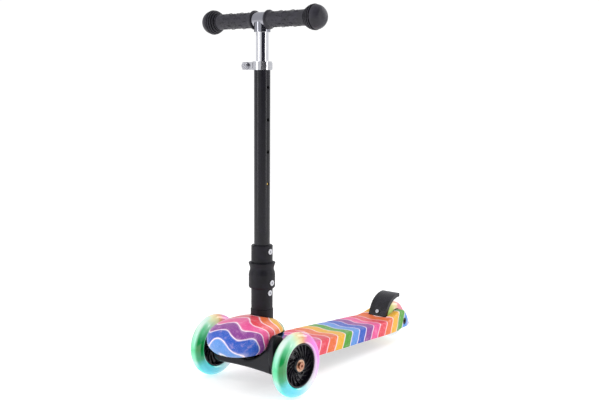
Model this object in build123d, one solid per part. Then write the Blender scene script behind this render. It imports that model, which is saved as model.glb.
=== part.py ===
from build123d import *
import math
import os

# Three-wheeled folding kick scooter for small children.
# Millimetres. +Z is up, the rider faces -Y, and the rider's left is +X.
# The origin is on the floor, under the middle of the scooter's bounding box.

# Driving dimensions: wheels
front_axle_y = -202.0
front_wheel_radius = 60.0
front_wheel_width = 26.6
front_track_half = 104.0
front_hub_radius = 41.5
rear_axle_y = 262.3
rear_wheel_radius = 40.0
rear_wheel_width = 28.0
rear_hub_radius = 24.9
axle_radius = 3.97
bearing_bore_radius = 4.0
bearing_radius = 11.0
bearing_width = 7.0
bearing_inner_face = 3.5
bearing_outer_face = bearing_inner_face + bearing_width
hub_core_radius = 14.5
front_spokes = 12
rear_spokes = 6
spacer_radius = 6.2

# Driving dimensions: stem and handlebar
stem_y = -179.5
handlebar_z = 684.3
handlebar_radius = 11.0
ball_end_x = 144.4
ball_radius = 22.5
grip_radius = 14.8
inner_tube_radius = 11.7
stem_tube_radius = 15.1
stem_tube_bore = 13.5
stem_tube_top = 601.0
stem_tube_bottom = 239.0
setting_hole_pitch = 59.5
lowest_hole_z = 383.0
fold_pivot_z = 176.9
knuckle_radius = 20.5
knuckle_top = 185.5
knuckle_bottom = 145.1
collar_radius = 21.6

# Driving dimensions: deck, cover and steering
deck_top_at_origin = 64.0
deck_slope = -0.045
deck_height = 28.7
deck_wall = 4.0
deck_rim_radius = 5.0
fork_gap_half = 24.0
fork_slot_front_y = 202.5
brake_pin_y = 210.0
brake_pin_z = 49.0
cover_half_width = 58.0
cover_half_length = 78.5
cover_rise = 33.5
cover_drop = 39.0
cover_centre_y = -223.8
cover_widest_z = 101.0
cover_rim_z = 69.5
cover_wall = 3.0
steering_tilt = 40.0
steering_pivot_z = 58.0
kingpin_radius = 6.0

os.makedirs("parts", exist_ok=True)


def save(shape, name):
    export_step(shape, f"parts/{name}.step")


def deck_top_z(y):
    return deck_top_at_origin + deck_slope * y


def block(x0, x1, y0, y1, z0, z1):
    centre = ((x0 + x1) / 2, (y0 + y1) / 2, (z0 + z1) / 2)
    return Pos(*centre) * Box(x1 - x0, y1 - y0, z1 - z0)


def rod_x(radius, x0, x1, y, z):
    return Pos((x0 + x1) / 2, y, z) * Rot(0, 90, 0) * Cylinder(radius, abs(x1 - x0))


def rod_y(radius, y0, y1, x, z):
    return Pos(x, (y0 + y1) / 2, z) * Rot(90, 0, 0) * Cylinder(radius, abs(y1 - y0))


def rod_z(radius, z0, z1, x=0.0, y=stem_y):
    return Pos(x, y, (z0 + z1) / 2) * Cylinder(radius, z1 - z0)


def ring_x(outer, inner, x0, x1, y, z):
    return rod_x(outer, x0, x1, y, z) - rod_x(inner, x0 - 1, x1 + 1, y, z)


def ring_z(outer, inner, z0, z1, x=0.0, y=stem_y):
    return rod_z(outer, z0, z1, x, y) - rod_z(inner, z0 - 1, z1 + 1, x, y)


def hex_x(across_flats, x0, x1, y, z):
    sketch = RegularPolygon(across_flats / 2, 6, major_radius=False)
    low = min(x0, x1)
    return Pos(low, y, z) * Rot(0, 90, 0) * extrude(sketch, abs(x1 - x0))


def turned(points, smooth=False):
    """A solid turned about the Z axis from (radius, height) points."""
    line = Polyline(*[(r, 0, h) for r, h in points], close=True)
    return revolve(make_face(line), Axis.Z, 360)


def side_slab(points, x0, x1):
    """An outline of (y, z) points, pulled along X from x0 to x1."""
    line = Polyline(*[(x0, y, z) for y, z in points], close=True)
    return extrude(make_face(line), amount=x1 - x0, dir=(1, 0, 0))


# Steering frame: local Z runs up along the kingpin and leans forward.
steering_frame = Pos(0, front_axle_y, steering_pivot_z) * Rot(steering_tilt, 0, 0)


def kingpin_rod(radius, s0, s1):
    return steering_frame * Pos(0, 0, (s0 + s1) / 2) * Cylinder(radius, s1 - s0)


# ---------------------------------------------------------------- wheels
def tyre(radius, width, inner):
    """Round-shouldered tyre about Z, centred on its mid-plane."""
    half = width / 2
    shoulder = radius - 0.62 * half
    profile = Polyline(
        (inner, 0, -half + 1.5), (inner, 0, half - 1.5), (inner + 1.5, 0, half), (shoulder, 0, half)
    )
    crown = ThreePointArc((shoulder, 0, half), (radius, 0, 0), (shoulder, 0, -half))
    close = Polyline((shoulder, 0, -half), (inner + 1.5, 0, -half), (inner, 0, -half + 1.5))
    return revolve(make_face([*profile.edges(), *crown.edges(), *close.edges()]), Axis.Z, 360)


def hub(rim_radius, rim_half, spokes):
    """Rim ring, swirl spokes and bearing core about Z."""
    rim = Cylinder(rim_radius, 2 * rim_half) - Cylinder(rim_radius - 3.6, 2 * rim_half + 2)
    channel = Cylinder(rim_radius + 1, 9) - Cylinder(rim_radius - 2.6, 11)
    core = Cylinder(hub_core_radius, 2 * bearing_outer_face)
    spoke_length = rim_radius - 2.8 - hub_core_radius + 1.5
    spoke_middle = hub_core_radius - 1.5 + spoke_length / 2
    spoke = Pos(spoke_middle, 3.5, 0) * Rot(0, 0, 8) * Box(spoke_length, 3.0, 12)
    shape = rim + core
    for i in range(spokes):
        shape += Rot(0, 0, 360 * i / spokes) * spoke
    shape -= channel
    shape -= Cylinder(9.6, 40)
    for side in (-1, 1):
        seat = Pos(0, 0, side * (bearing_inner_face + 10)) * Cylinder(bearing_radius, 20)
        shape -= seat
    return shape


def bearing_pair():
    """Two sealed ball bearings, one at each end of a hub's core."""
    pair = []
    for side in (-1, 1):
        ring = Cylinder(bearing_radius, bearing_width) - Cylinder(bearing_bore_radius, bearing_width + 2)
        groove = Cylinder(bearing_radius - 2.5, 2) - Cylinder(bearing_bore_radius + 2.5, 4)
        face = side * (bearing_width / 2)
        ring -= Pos(0, 0, face) * groove
        pair.append(Pos(0, 0, side * (bearing_inner_face + bearing_width / 2)) * ring)
    return Compound(children=[Part() + p for p in pair])


def light_ring(rim_radius):
    """Ring of lamps that lies in the channel round a hub's rim."""
    return Cylinder(rim_radius - 0.3, 8.4) - Cylinder(rim_radius - 2.4, 12)


def magnet_core():
    """Magnetic sleeve that stays still on the axle, between the bearings."""
    return Cylinder(8.6, 2 * bearing_inner_face - 0.4) - Cylinder(bearing_bore_radius + 0.05, 20)


def front_magnet_cores():
    cores = [
        put_wheel(magnet_core(), side * front_track_half, front_axle_y, front_wheel_radius)
        for side in (-1, 1)
    ]
    return Compound(children=[Part() + c for c in cores])


def rear_magnet_core():
    return put_wheel(magnet_core(), 0, rear_axle_y, rear_wheel_radius)


def put_wheel(shape, x, y, z):
    return Pos(x, y, z) * Rot(0, 90, 0) * shape


def wheel(prefix, x, y, radius, width, hub_radius, spokes):
    save(put_wheel(tyre(radius, width, hub_radius + 0.1), x, y, radius), prefix + "_tyre")
    save(put_wheel(hub(hub_radius, width / 2 - 2.3, spokes), x, y, radius), prefix + "_hub")
    save(put_wheel(bearing_pair(), x, y, radius), prefix + "_bearings")
    save(put_wheel(light_ring(hub_radius), x, y, radius), prefix + "_light_ring")


# ---------------------------------------------------------------- steering
truck_end_in = 61.0
truck_end_out = 84.0
ear_in = 66.0
ear_out = 76.0


def truck_beam():
    """Moulded cross beam with a kingpin boss, end blocks, ears and axle bosses."""
    y = front_axle_y
    section = [
        (y - 25, 46), (y - 19, 39), (y + 20, 39), (y + 26, 46),
        (y + 26, 56), (y + 20, 59), (y - 20, 59), (y - 26, 55),
    ]
    beam = side_slab(section, -truck_end_in - 2, truck_end_in + 2)
    end_section = [
        (y - 30, 52), (y - 27, 44), (y - 19, 39), (y + 17, 39),
        (y + 25, 45), (y + 24, 62), (y + 14, 72), (y - 30, 72),
    ]
    ear_section = [
        (y - 33, 70), (y - 34, 98), (y - 29, 108), (y - 19, 112),
        (y - 8, 110), (y - 2, 102), (y + 12, 70),
    ]
    for side in (-1, 1):
        end = side_slab(end_section, min(side * truck_end_in, side * (truck_end_out - 7)),
                        max(side * truck_end_in, side * (truck_end_out - 7)))
        ear = side_slab(ear_section, min(side * ear_in, side * ear_out), max(side * ear_in, side * ear_out))
        boss = rod_x(13, side * (truck_end_in + 1), side * truck_end_out, y, front_wheel_radius)
        beam = beam + end + ear + boss
    beam += kingpin_rod(17, -15, 12)
    beam -= kingpin_rod(kingpin_radius + 2.5, -30, 30)
    beam -= kingpin_rod(12, -40, -13)
    for side in (-1, 1):
        beam -= rod_x(axle_radius + 0.05, side * 58, side * 90, y, front_wheel_radius)
    return beam


def truck_bush():
    return kingpin_rod(kingpin_radius + 2.45, -12.9, 12) - kingpin_rod(kingpin_radius + 0.05, -30, 30)


def kingpin_bolt():
    head = steering_frame * Pos(0, 0, -20) * extrude(RegularPolygon(9, 6, major_radius=False), 5)
    return head + kingpin_rod(kingpin_radius, -16, 44)


def kingpin_washers():
    low = kingpin_rod(11, -14.8, -13.2) - kingpin_rod(kingpin_radius + 0.1, -30, 30)
    high = kingpin_rod(13, 12.3, 14.2) - kingpin_rod(kingpin_radius + 0.1, -30, 30)
    return Compound(children=[Part() + low, Part() + high])


def kingpin_nut():
    nut = steering_frame * Pos(0, 0, 36.3) * extrude(RegularPolygon(9.5, 6, major_radius=False), 7)
    return nut - kingpin_rod(kingpin_radius + 0.05, 30, 50)


def helix_spring(radius, wire, height, turns):
    path = Helix(pitch=height / turns, height=height, radius=radius)
    profile = Plane(origin=path @ 0, z_dir=path % 0) * Circle(wire)
    return sweep(profile, path, is_frenet=True)


def centering_springs():
    springs = []
    for side in (-1, 1):
        springs.append(Pos(side * 24, front_axle_y - 4, 60.2) * helix_spring(4.4, 0.8, 7.4, 3))
    return Compound(children=[Part() + s for s in springs])


def steering_head():
    """Nylon block under the front cover: kingpin seat, stem socket and deck tongue."""
    body = steering_frame * Pos(0, 0, 25.4) * Box(88, 52, 22)
    seat = rod_z(30, 68, 108) - block(-60, 60, -330, -100, 108, 200)
    shape = (body + seat) & egg(cover_wall + 0.8)
    shape &= block(-60, 60, -330, -100, 66, 108)
    bridge = block(-24, 24, -198, -158, 66.5, 72.5)
    neck = block(-28, 28, -164, -149, 50, 72.5)
    tongue = block(-30, 30, -150, -84, 50, 60)
    shape = shape + bridge + neck + tongue
    shape -= kingpin_rod(kingpin_radius + 0.1, 0, 60)
    shape -= kingpin_rod(12.5, 36.2, 90)
    shape -= kingpin_rod(19, -40, 14.4)
    shape -= rod_z(17.15, 88, 140)
    shape -= rod_z(4.4, 40, 100)
    shape -= rod_z(8.5, 40, 76)
    for x, y in tongue_screw_places():
        shape -= rod_z(2.05, 40, 62, x, y)
    return shape


def tongue_screw_places():
    return [(x, y) for x in (-22, 22) for y in (-124, -98)]


def front_axle_bolts():
    """Socket screws that the front wheels turn on."""
    y = front_axle_y
    outer = front_track_half + bearing_outer_face
    bolts = []
    for side in (-1, 1):
        shank = rod_x(axle_radius, side * 62, side * outer, y, front_wheel_radius)
        head = rod_x(6.4, side * outer, side * (outer + 3.4), y, front_wheel_radius)
        socket = hex_x(5, side * (outer + 1.2), side * (outer + 5), y, front_wheel_radius)
        bolts.append(shank + head - socket)
    return Compound(children=[Part() + b for b in bolts])


def wheel_spacers():
    """Sleeves between the beam's bosses and the inner bearings."""
    gap = 0.1
    inner_face = front_track_half - bearing_outer_face
    sleeves = []
    for side in (-1, 1):
        ends = sorted((side * (truck_end_out + gap), side * (inner_face - gap)))
        sleeve = ring_x(
            spacer_radius, axle_radius + 0.05, ends[0], ends[1], front_axle_y, front_wheel_radius
        )
        sleeves.append(sleeve)
    return Compound(children=[Part() + s for s in sleeves])


# ---------------------------------------------------------------- front cover
def egg(shrink):
    """The cover's outer shape, made smaller all round by shrink."""
    a = cover_half_width - shrink
    b = cover_half_length - shrink
    middle = Align.CENTER
    dome = Sphere(1, arc_size1=0, arc_size2=90, align=(middle, middle, Align.MIN))
    bowl = Sphere(1, arc_size1=-90, arc_size2=0, align=(middle, middle, Align.MAX))
    upper = scale(dome, by=(a, b, cover_rise - shrink))
    lower = scale(bowl, by=(a, b, cover_drop - shrink))
    return Pos(0, cover_centre_y, cover_widest_z) * (upper + lower)


def front_cover():
    """Egg-shaped shell over the steering head, open below and holed for the stem."""
    shell = egg(0) - egg(cover_wall)
    rim = cover_rim_z
    cut_outline = [(-340, 20), (-340, rim), (-206, rim), (-188, 80.5), (-100, 80.5), (-100, 20)]
    below = side_slab(cut_outline, -90, 90)
    shell -= below
    shell -= rod_z(collar_radius + 0.5, 60, 200)
    return shell


# ---------------------------------------------------------------- deck
def deck_plan(inset=0.0):
    """Plan outline of the deck as a face on the XY plane."""
    right = [
        (38 - inset, -162 + inset), (46 - inset, -124), (53 - inset, -96), (54.3 - inset, -50),
        (53.5 - inset, 0),
        (50 - inset, 70), (48 - inset, 150), (44.5 - inset, 200), (39.5 - inset, 235),
        (36 - inset, 265), (33 - inset, 286),
    ]
    left = [(-x, y) for x, y in reversed(right)]
    edges = [Spline(*right), Line(right[-1], left[0]), Spline(*left), Line(left[-1], right[0])]
    return make_face(edges)


def deck_side():
    """Side outline of the deck, with the raised fork arms and the pointed tail."""
    bottom_rear = deck_top_z(200) - deck_height
    top_front = (0, -162, 79.5)
    nose_end = (0, -112, deck_top_z(-112))
    arm_start = (0, 178, deck_top_z(178))
    arm = [
        arm_start, (0, 200, 57.0), (0, 224, 63.2), (0, 246, 67.4),
        (0, 262, 64.5), (0, 276, 51), (0, 286.5, 33),
    ]
    floor_rear = (0, 200, bottom_rear)
    floor_front = (0, -138, deck_top_z(-138) - deck_height)
    tail = [arm[-1], (0, 281, 28.6), (0, 262, 26.4), (0, 232, 25.6), floor_rear]
    start_slope = (0, 1, deck_slope)
    edges = [
        Spline(top_front, (0, -138, 72.2), nose_end, tangents=[(0, 1, -0.35), (0, 1, deck_slope)]),
        Line(nose_end, arm_start),
        Spline(*arm, tangents=[start_slope, (0, 0.45, -1)]),
        Spline(*tail, tangents=[(0, -1, -0.9), (0, -1, -deck_slope)]),
        Line(floor_rear, floor_front),
        Line(floor_front, (0, -150, 47)),
        Line((0, -150, 47), (0, -162, 58)),
        Line((0, -162, 58), top_front),
    ]
    return make_face(edges)


def deck_outer():
    side = Pos(-80, 0, 0) * extrude(deck_side(), amount=160, dir=(1, 0, 0))
    return extrude(deck_plan(), amount=120) & side


def deck_shell():
    """Printed upper moulding: standing surface, side walls, ribs and two fork arms."""
    shell = deck_outer()
    rim = [e for e in shell.edges() if is_rim_edge(e)]
    shell = fillet(rim, deck_rim_radius)
    cavity = extrude(deck_plan(deck_wall), amount=120)
    rear_wall = fork_slot_front_y - 6
    cavity &= side_slab(
        [
            (-170, deck_top_z(-170) - 4.5), (rear_wall, deck_top_z(rear_wall) - 4.5),
            (rear_wall, 0), (-170, 0),
        ], -80, 80
    )
    pan_top = 4.6 - deck_height
    above_pan = side_slab([
        (-70, deck_top_z(-70) + pan_top), (300, deck_top_z(300) + pan_top), (300, 90), (-70, 90)
    ], -80, 80)
    ribs = block(-80, 80, -70, -67.5, 0, 100)
    for y in range(-27, 190, 43):
        ribs += block(-80, 80, y, y + 2.5, 0, 100)
    for x in (-17.5, 17.5):
        ribs += block(x - 1.25, x + 1.25, -70, 300, 0, 100)
    for x, y in underplate_screw_places():
        ribs += rod_z(4.5, 0, 100, x, y)
    cavity -= ribs & above_pan
    for x, y in tongue_screw_places():
        cavity -= rod_z(4.5, 60.3, 100, x, y)
    shell -= cavity
    shell -= block(-fork_gap_half, fork_gap_half, fork_slot_front_y, 320, 0, 100)
    shell -= rod_x(axle_radius + 0.05, -60, 60, rear_axle_y, rear_wheel_radius)
    for side in (-1, 1):
        shell -= rod_x(8, side * 31.5, side * 60, rear_axle_y, rear_wheel_radius)
    shell -= rod_x(3.05, -32, 32, brake_pin_y, brake_pin_z)
    for x, y in tongue_screw_places():
        shell -= rod_z(2.0, 50, 67.3, x, y)
    for x, y in underplate_screw_places():
        low = deck_top_z(y) - deck_height
        shell -= rod_z(2.05, low, low + 18.2, x, y)
    shell -= block(-30.3, 30.3, -170, -148.7, 49.7, 72.8)
    return shell


def is_rim_edge(edge):
    """True for the long edges round the top of the deck and of its fork arms."""
    middle = edge @ 0.5
    high = middle.Z > deck_top_z(middle.Y) - 1.5 and middle.Y < 258
    return high and abs(middle.X) > 30 and edge.length > 5


def deck_underplate():
    """Floor pan that closes the deck from below."""
    pan = extrude(deck_plan(deck_wall + 0.3), amount=120)
    low = deck_top_z(0) - deck_height
    y0, y1 = -82, fork_slot_front_y - 7
    pan &= side_slab([
        (y0, low + deck_slope * y0 + 1), (y1, low + deck_slope * y1 + 1),
        (y1, low + deck_slope * y1 + 4), (y0, low + deck_slope * y0 + 4)
    ], -80, 80)
    for x, y in underplate_screw_places():
        pan -= rod_z(2.3, 0, 60, x, y)
    return pan


def underplate_screw_places():
    return [(x, y) for x in (-30, 30) for y in (-50, 38, 124, 170)]


def deck_screws():
    """Screws of the floor pan, and those that hold the deck to the head's tongue."""
    screws = []
    for x, y in underplate_screw_places():
        low = deck_top_z(y) - deck_height
        screws.append(rod_z(4, low - 1.4, low + 0.6, x, y) + rod_z(2, low, low + 18, x, y))
    for x, y in tongue_screw_places():
        screws.append(rod_z(4, 47.9, 49.9, x, y) + rod_z(1.95, 49, 67, x, y))
    return Compound(children=[Part() + s for s in screws])


# ---------------------------------------------------------------- rear axle and brake
def rear_axle_bolt():
    shank = rod_x(axle_radius, -34, 31.6, rear_axle_y, rear_wheel_radius)
    head = rod_x(6.4, 31.6, 35.2, rear_axle_y, rear_wheel_radius)
    return shank + head - hex_x(5, 33, 38, rear_axle_y, rear_wheel_radius)


def rear_axle_nut():
    nut = hex_x(12.5, -34.6, -31.6, rear_axle_y, rear_wheel_radius)
    return nut - rod_x(axle_radius + 0.05, -40, -30, rear_axle_y, rear_wheel_radius)


def rear_spacers():
    sleeves = []
    for side in (-1, 1):
        x0, x1 = side * (bearing_outer_face + 0.1), side * (fork_gap_half - 0.1)
        sleeve = ring_x(
            spacer_radius, axle_radius + 0.05, min(x0, x1), max(x0, x1), rear_axle_y, rear_wheel_radius
        )
        sleeves.append(sleeve)
    return Compound(children=[Part() + s for s in sleeves])


# Fastener of the fender's wear plate, square to the fender's sloping front.
brake_screw_frame = Pos(0, 207.3, 66.6) * Rot(66, 0, 0)
fender_half_width = 22.5
fender_skin = 4.0
fender_flange = 8.0


def fender_outline(depth):
    """Curved plate section: an outer line and the same line moved inwards."""
    outer = [(203.2, 53), (205.4, 61), (211.5, 76), (222, 89.5), (237.5, 99), (260, 103)]
    inner = [
        (203.2 + depth, 53), (205 + depth, 59), (211.5 + 0.9 * depth, 76 - 0.45 * depth),
        (222 + 0.7 * depth, 89.5 - 0.75 * depth), (238.5 + 0.2 * depth, 99 - 0.97 * depth),
        (260, 103 - depth),
    ]
    edges = [
        Spline(*[(0, y, z) for y, z in outer]),
        Line((0, *outer[-1]), (0, *inner[-1])),
        Spline(*[(0, y, z) for y, z in reversed(inner)]),
        Line((0, *inner[0]), (0, *outer[0])),
    ]
    return make_face(edges)


def brake_fender():
    """Foot brake: curved plate with side flanges and two pivot lugs."""
    half = fender_half_width
    plate = Pos(-half, 0, 0) * extrude(fender_outline(fender_skin), amount=2 * half, dir=(1, 0, 0))
    for side in (-1, 1):
        x0 = -half if side < 0 else half - 3
        plate += Pos(x0, 0, 0) * extrude(fender_outline(fender_flange), amount=3, dir=(1, 0, 0))
        low, high = sorted((side * 14.5, side * half))
        lug = rod_x(6.3, low, high, brake_pin_y, brake_pin_z)
        web = block(low, high, 203.8, 213, brake_pin_z, 58)
        plate += lug + web
    plate -= rod_x(3.3, -40, 40, brake_pin_y, brake_pin_z)
    return plate - brake_screw_frame * Cylinder(2.1, 20)


def brake_screw():
    head = Pos(0, 0, 1.7) * Cylinder(4.2, 2.0) - Pos(0, 0, 2.6) * Box(4.5, 1.1, 1.2)
    return brake_screw_frame * (head + Pos(0, 0, -3.4) * Cylinder(2.0, 7.2))


def brake_wear_plate():
    """Steel strip under the fender, which rubs on the wheel."""
    inner = fender_outline(fender_skin)
    outer = fender_outline(fender_skin + 1.8)
    strip = extrude(outer, amount=22, dir=(1, 0, 0)) - extrude(inner, amount=22, dir=(1, 0, 0))
    strip = Pos(-11, 0, 0) * strip
    strip &= block(-12, 12, 200, 252, 63, 120)
    return strip - brake_screw_frame * Cylinder(2.1, 20)


def brake_pin():
    return rod_x(3.0, -31.5, 31.5, brake_pin_y, brake_pin_z)


def brake_spring():
    """Torsion spring round the brake pin."""
    coil = helix_spring(3.9, 0.7, 20, 7)
    return Pos(-10, brake_pin_y, brake_pin_z) * Rot(0, 90, 0) * coil


# ---------------------------------------------------------------- stem foot and fold
knuckle_slot_half = 7.0
tongue_half = 6.7
tongue_radius = 11.0
body_start_z = 199.6
neck_radius = 16.5
guide_radius = 20.7


def stem_base_collar():
    return ring_z(collar_radius, 17.15, 108.2, knuckle_bottom - 0.3)


def lower_knuckle():
    """Clevis that the stem folds in, with a spigot down into the steering head."""
    shape = rod_z(knuckle_radius, knuckle_bottom, knuckle_top) + rod_z(17, 88.2, knuckle_bottom)
    ear = rod_x(12, -19, 19, stem_y, fold_pivot_z) & rod_z(18.5, fold_pivot_z - 12, fold_pivot_z + 12.2)
    shape += ear
    slot = block(
        -knuckle_slot_half, knuckle_slot_half, stem_y - 11.3, stem_y + 40, fold_pivot_z - 11.6, 220
    )
    shape -= slot
    shape -= rod_x(3.55, -40, 40, stem_y, fold_pivot_z)
    for side in (-1, 1):
        shape -= rod_x(5.5, side * 16.5, side * 40, stem_y, fold_pivot_z)
    shape -= rod_z(3.4, 80, 118)
    return shape


def fold_bolt():
    shank = rod_x(3.5, -16.4, 16.5, stem_y, fold_pivot_z)
    head = rod_x(5.3, 16.5, 20.9, stem_y, fold_pivot_z)
    return shank + head - hex_x(4, 18.6, 22, stem_y, fold_pivot_z)


def fold_nut():
    cap = rod_x(5.3, -20.9, -16.5, stem_y, fold_pivot_z)
    return cap - hex_x(4, -22, -18.8, stem_y, fold_pivot_z)


def stem_bolt():
    """Upright bolt that pulls the knuckle's spigot down into the steering head."""
    shank = rod_z(3.35, 74, 114)
    head = rod_z(7.5, 70, 76)
    shoulder = rod_z(4.3, 76, 87.9)
    return shank + head + shoulder


def upper_knuckle():
    """Tongue, neck, guide and tube socket that fold with the stem."""
    tongue = block(-tongue_half, tongue_half, stem_y - 11, stem_y + 11, fold_pivot_z, body_start_z + 1)
    tongue += rod_x(tongue_radius, -tongue_half, tongue_half, stem_y, fold_pivot_z)
    body = rod_z(neck_radius, body_start_z, 226.2) + rod_z(guide_radius, 226, 235.2)
    body += rod_z(20.4, 235, 267.1) - ring_z(22, 19.4, 265.9, 268)
    shape = tongue + body
    shape -= rod_z(15.15, 239, 280)
    shape -= rod_x(3.55, -20, 20, stem_y, fold_pivot_z)
    shape -= rod_x(2.6, 10, 30, stem_y, 255.8)
    shape -= rod_x(5.5, 18.8, 30, stem_y, 255.8)
    return shape


def lock_sleeve():
    """Sliding sleeve with a waist and a flare, which covers the fold at rest."""
    profile = [
        (17.0, 194.0), (17.0, 200.0), (21.1, 200.0), (21.1, 234.0), (25.0, 234.0), (25.4, 232.8),
        (24.4, 229.5), (23.1, 225.5), (22.7, 222.6), (23.1, 219.5), (24.4, 215.5), (25.2, 211.5),
        (25.2, 188.0), (24.0, 185.8), (21.3, 185.8), (21.3, 194.0),
    ]
    shape = Pos(0, stem_y, 0) * turned(profile)
    shape -= rod_x(2.05, 15, 30, stem_y, 196.9)
    shape -= rod_x(5.4, 22.6, 30, stem_y, 196.9)
    return shape


def sleeve_screw():
    head = rod_x(5.3, 22.7, 25.9, stem_y, 196.9)
    return head + rod_x(2.0, 17.2, 22.7, stem_y, 196.9) - hex_x(3.6, 24.2, 27, stem_y, 196.9)


def tube_screw():
    head = rod_x(5.3, 18.9, 21.6, stem_y, 255.8)
    return head + rod_x(2.5, 13.8, 18.9, stem_y, 255.8) - hex_x(3.6, 20, 23, stem_y, 255.8)


def lock_spring():
    return Pos(0, stem_y, 200.8) * helix_spring(18.7, 0.8, 24.0, 3)


# ---------------------------------------------------------------- stem tubes and clamp
def setting_hole_heights():
    return [lowest_hole_z + i * setting_hole_pitch for i in range(4)]


def stem_tube():
    shape = ring_z(stem_tube_radius, stem_tube_bore, stem_tube_bottom, stem_tube_top)
    for z in setting_hole_heights():
        shape -= rod_x(3.2, 8, 20, stem_y, z)
    shape -= rod_x(2.6, 8, 20, stem_y, 255.8)
    shape -= block(-20, -8, stem_y - 1.2, stem_y + 1.2, 570, 610)
    return shape


def tube_bushing():
    """Plastic liner at the top of the stem tube, split for the clamp."""
    shape = ring_z(stem_tube_bore - 0.05, inner_tube_radius + 0.1, 568, stem_tube_top)
    shape += ring_z(stem_tube_radius, inner_tube_radius + 0.1, stem_tube_top, 603)
    shape -= block(-20, -8, stem_y - 1.2, stem_y + 1.2, 560, 610)
    return shape


clamp_low = 593.1
clamp_high = 608.8
clamp_bolt_x = -33.0
clamp_mid = 601.0


def clamp_collar():
    shape = rod_z(18.0, clamp_low, clamp_high)
    shape += block(-42, -12, stem_y - 8.5, stem_y + 8.5, clamp_low + 0.8, clamp_high - 0.8)
    shape -= rod_z(stem_tube_radius + 0.05, clamp_low - 1, 603.1)
    shape -= rod_z(inner_tube_radius + 0.5, 600, clamp_high + 1)
    shape -= block(-50, -10, stem_y - 1.4, stem_y + 1.4, clamp_low - 1, clamp_high + 1)
    shape -= rod_y(2.9, stem_y - 20, stem_y + 20, clamp_bolt_x, clamp_mid)
    return shape


lever_pivot_y = stem_y + 15.5
handle_end_x = 2.0


def clamp_bolt():
    """Eye bolt across the collar's lugs; its eye carries the lever."""
    shank = rod_y(2.8, stem_y - 14.5, lever_pivot_y - 3, clamp_bolt_x, clamp_mid)
    eye = rod_z(5.0, clamp_mid - 3, clamp_mid + 3, clamp_bolt_x, lever_pivot_y)
    return shank + eye - rod_z(2.55, clamp_mid - 5, clamp_mid + 5, clamp_bolt_x, lever_pivot_y)


def clamp_nut():
    nut = rod_y(6.2, stem_y - 14, stem_y - 8.7, clamp_bolt_x, clamp_mid)
    ridge = rod_y(6.8, stem_y - 12.6, stem_y - 10.4, clamp_bolt_x, clamp_mid)
    return nut + ridge - rod_y(2.85, stem_y - 30, stem_y, clamp_bolt_x, clamp_mid)


def clamp_pin():
    return rod_z(2.5, clamp_mid - 7, clamp_mid + 7, clamp_bolt_x, lever_pivot_y)


def clamp_lever():
    """Cam barrel and a handle that wraps behind the collar."""
    barrel = rod_z(6.4, clamp_mid - 7, clamp_mid + 7, clamp_bolt_x, lever_pivot_y)
    barrel -= rod_z(7.5, clamp_mid - 3.2, clamp_mid + 3.2, clamp_bolt_x, lever_pivot_y)
    band = ring_z(26.5, 22.5, clamp_mid - 6, clamp_mid + 6)
    band &= block(-17, handle_end_x, stem_y + 2, stem_y + 40, clamp_mid - 40, clamp_mid + 40)
    arm = block(-26.3, -14, stem_y + 17.4, stem_y + 21.9, clamp_mid - 6, clamp_mid + 6)
    cheeks = block(-33, -25, stem_y + 15.5, stem_y + 21.9, clamp_mid - 7, clamp_mid - 3.2)
    cheeks += block(-33, -25, stem_y + 15.5, stem_y + 21.9, clamp_mid + 3.2, clamp_mid + 7)
    shape = barrel + band + arm + cheeks
    return shape - rod_z(2.55, clamp_mid - 9, clamp_mid + 9, clamp_bolt_x, lever_pivot_y)


# ---------------------------------------------------------------- handlebar
inner_tube_bottom = 352.0
button_z = lowest_hole_z


def inner_tube():
    top = handlebar_z - handlebar_radius + 1
    shape = ring_z(inner_tube_radius, inner_tube_radius - 1.5, inner_tube_bottom, top)
    shape -= rod_y(handlebar_radius + 0.05, stem_y - 40, stem_y + 40, 0, handlebar_z)
    shape -= rod_x(handlebar_radius + 0.05, -40, 40, stem_y, handlebar_z)
    return shape - rod_x(2.95, 5, 20, stem_y, button_z)


def tube_plug():
    """Nylon slider at the foot of the inner tube."""
    shape = rod_z(stem_tube_bore - 0.3, inner_tube_bottom - 8, inner_tube_bottom)
    shape += rod_z(inner_tube_radius - 1.6, inner_tube_bottom, inner_tube_bottom + 16)
    return shape - rod_z(6, inner_tube_bottom - 10, inner_tube_bottom + 14)


def crossbar():
    tube = rod_x(handlebar_radius, -134, 134, stem_y, handlebar_z)
    return tube - rod_x(handlebar_radius - 1.8, -140, 140, stem_y, handlebar_z)


def handlebar_saddle():
    """Socket that joins the crossbar to the inner tube."""
    shape = rod_x(14.4, -14.6, 14.6, stem_y, handlebar_z) + rod_z(15.2, 662, handlebar_z - 4)
    shape -= rod_x(handlebar_radius + 0.05, -40, 40, stem_y, handlebar_z)
    return shape - rod_z(inner_tube_radius + 0.05, 650, handlebar_z)


def grip(side):
    """Rubber grip with an inner flange and a ball end."""
    profile = [
        (handlebar_radius + 0.05, 15.6), (16.8, 15.6), (17.8, 16.6), (17.8, 18.6), (16.6, 20.2),
        (grip_radius, 22.0), (grip_radius, 106.0), (17.0, 108.6), (20.2, 112.0), (22.0, 117.0),
        (ball_radius, 123.0), (ball_radius, 130.0), (21.4, 135.5), (18.6, 140.3), (14.2, 143.3),
        (8.0, ball_end_x), (0.0, ball_end_x), (0.0, 134.5), (handlebar_radius + 0.05, 134.5),
    ]
    return Pos(0, stem_y, handlebar_z) * Rot(0, 90 * side, 0) * turned(profile)


def snap_button():
    stem = rod_x(2.75, 6.2, stem_tube_bore - 1.2, stem_y, button_z)
    nose = Cone(2.75, 1.9, 0.9, align=(Align.CENTER, Align.CENTER, Align.MIN))
    nose = Pos(stem_tube_bore - 1.2, stem_y, button_z) * Rot(0, 90, 0) * nose
    flange = rod_x(4.2, 5.4, 6.6, stem_y, button_z)
    return stem + nose + flange


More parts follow.
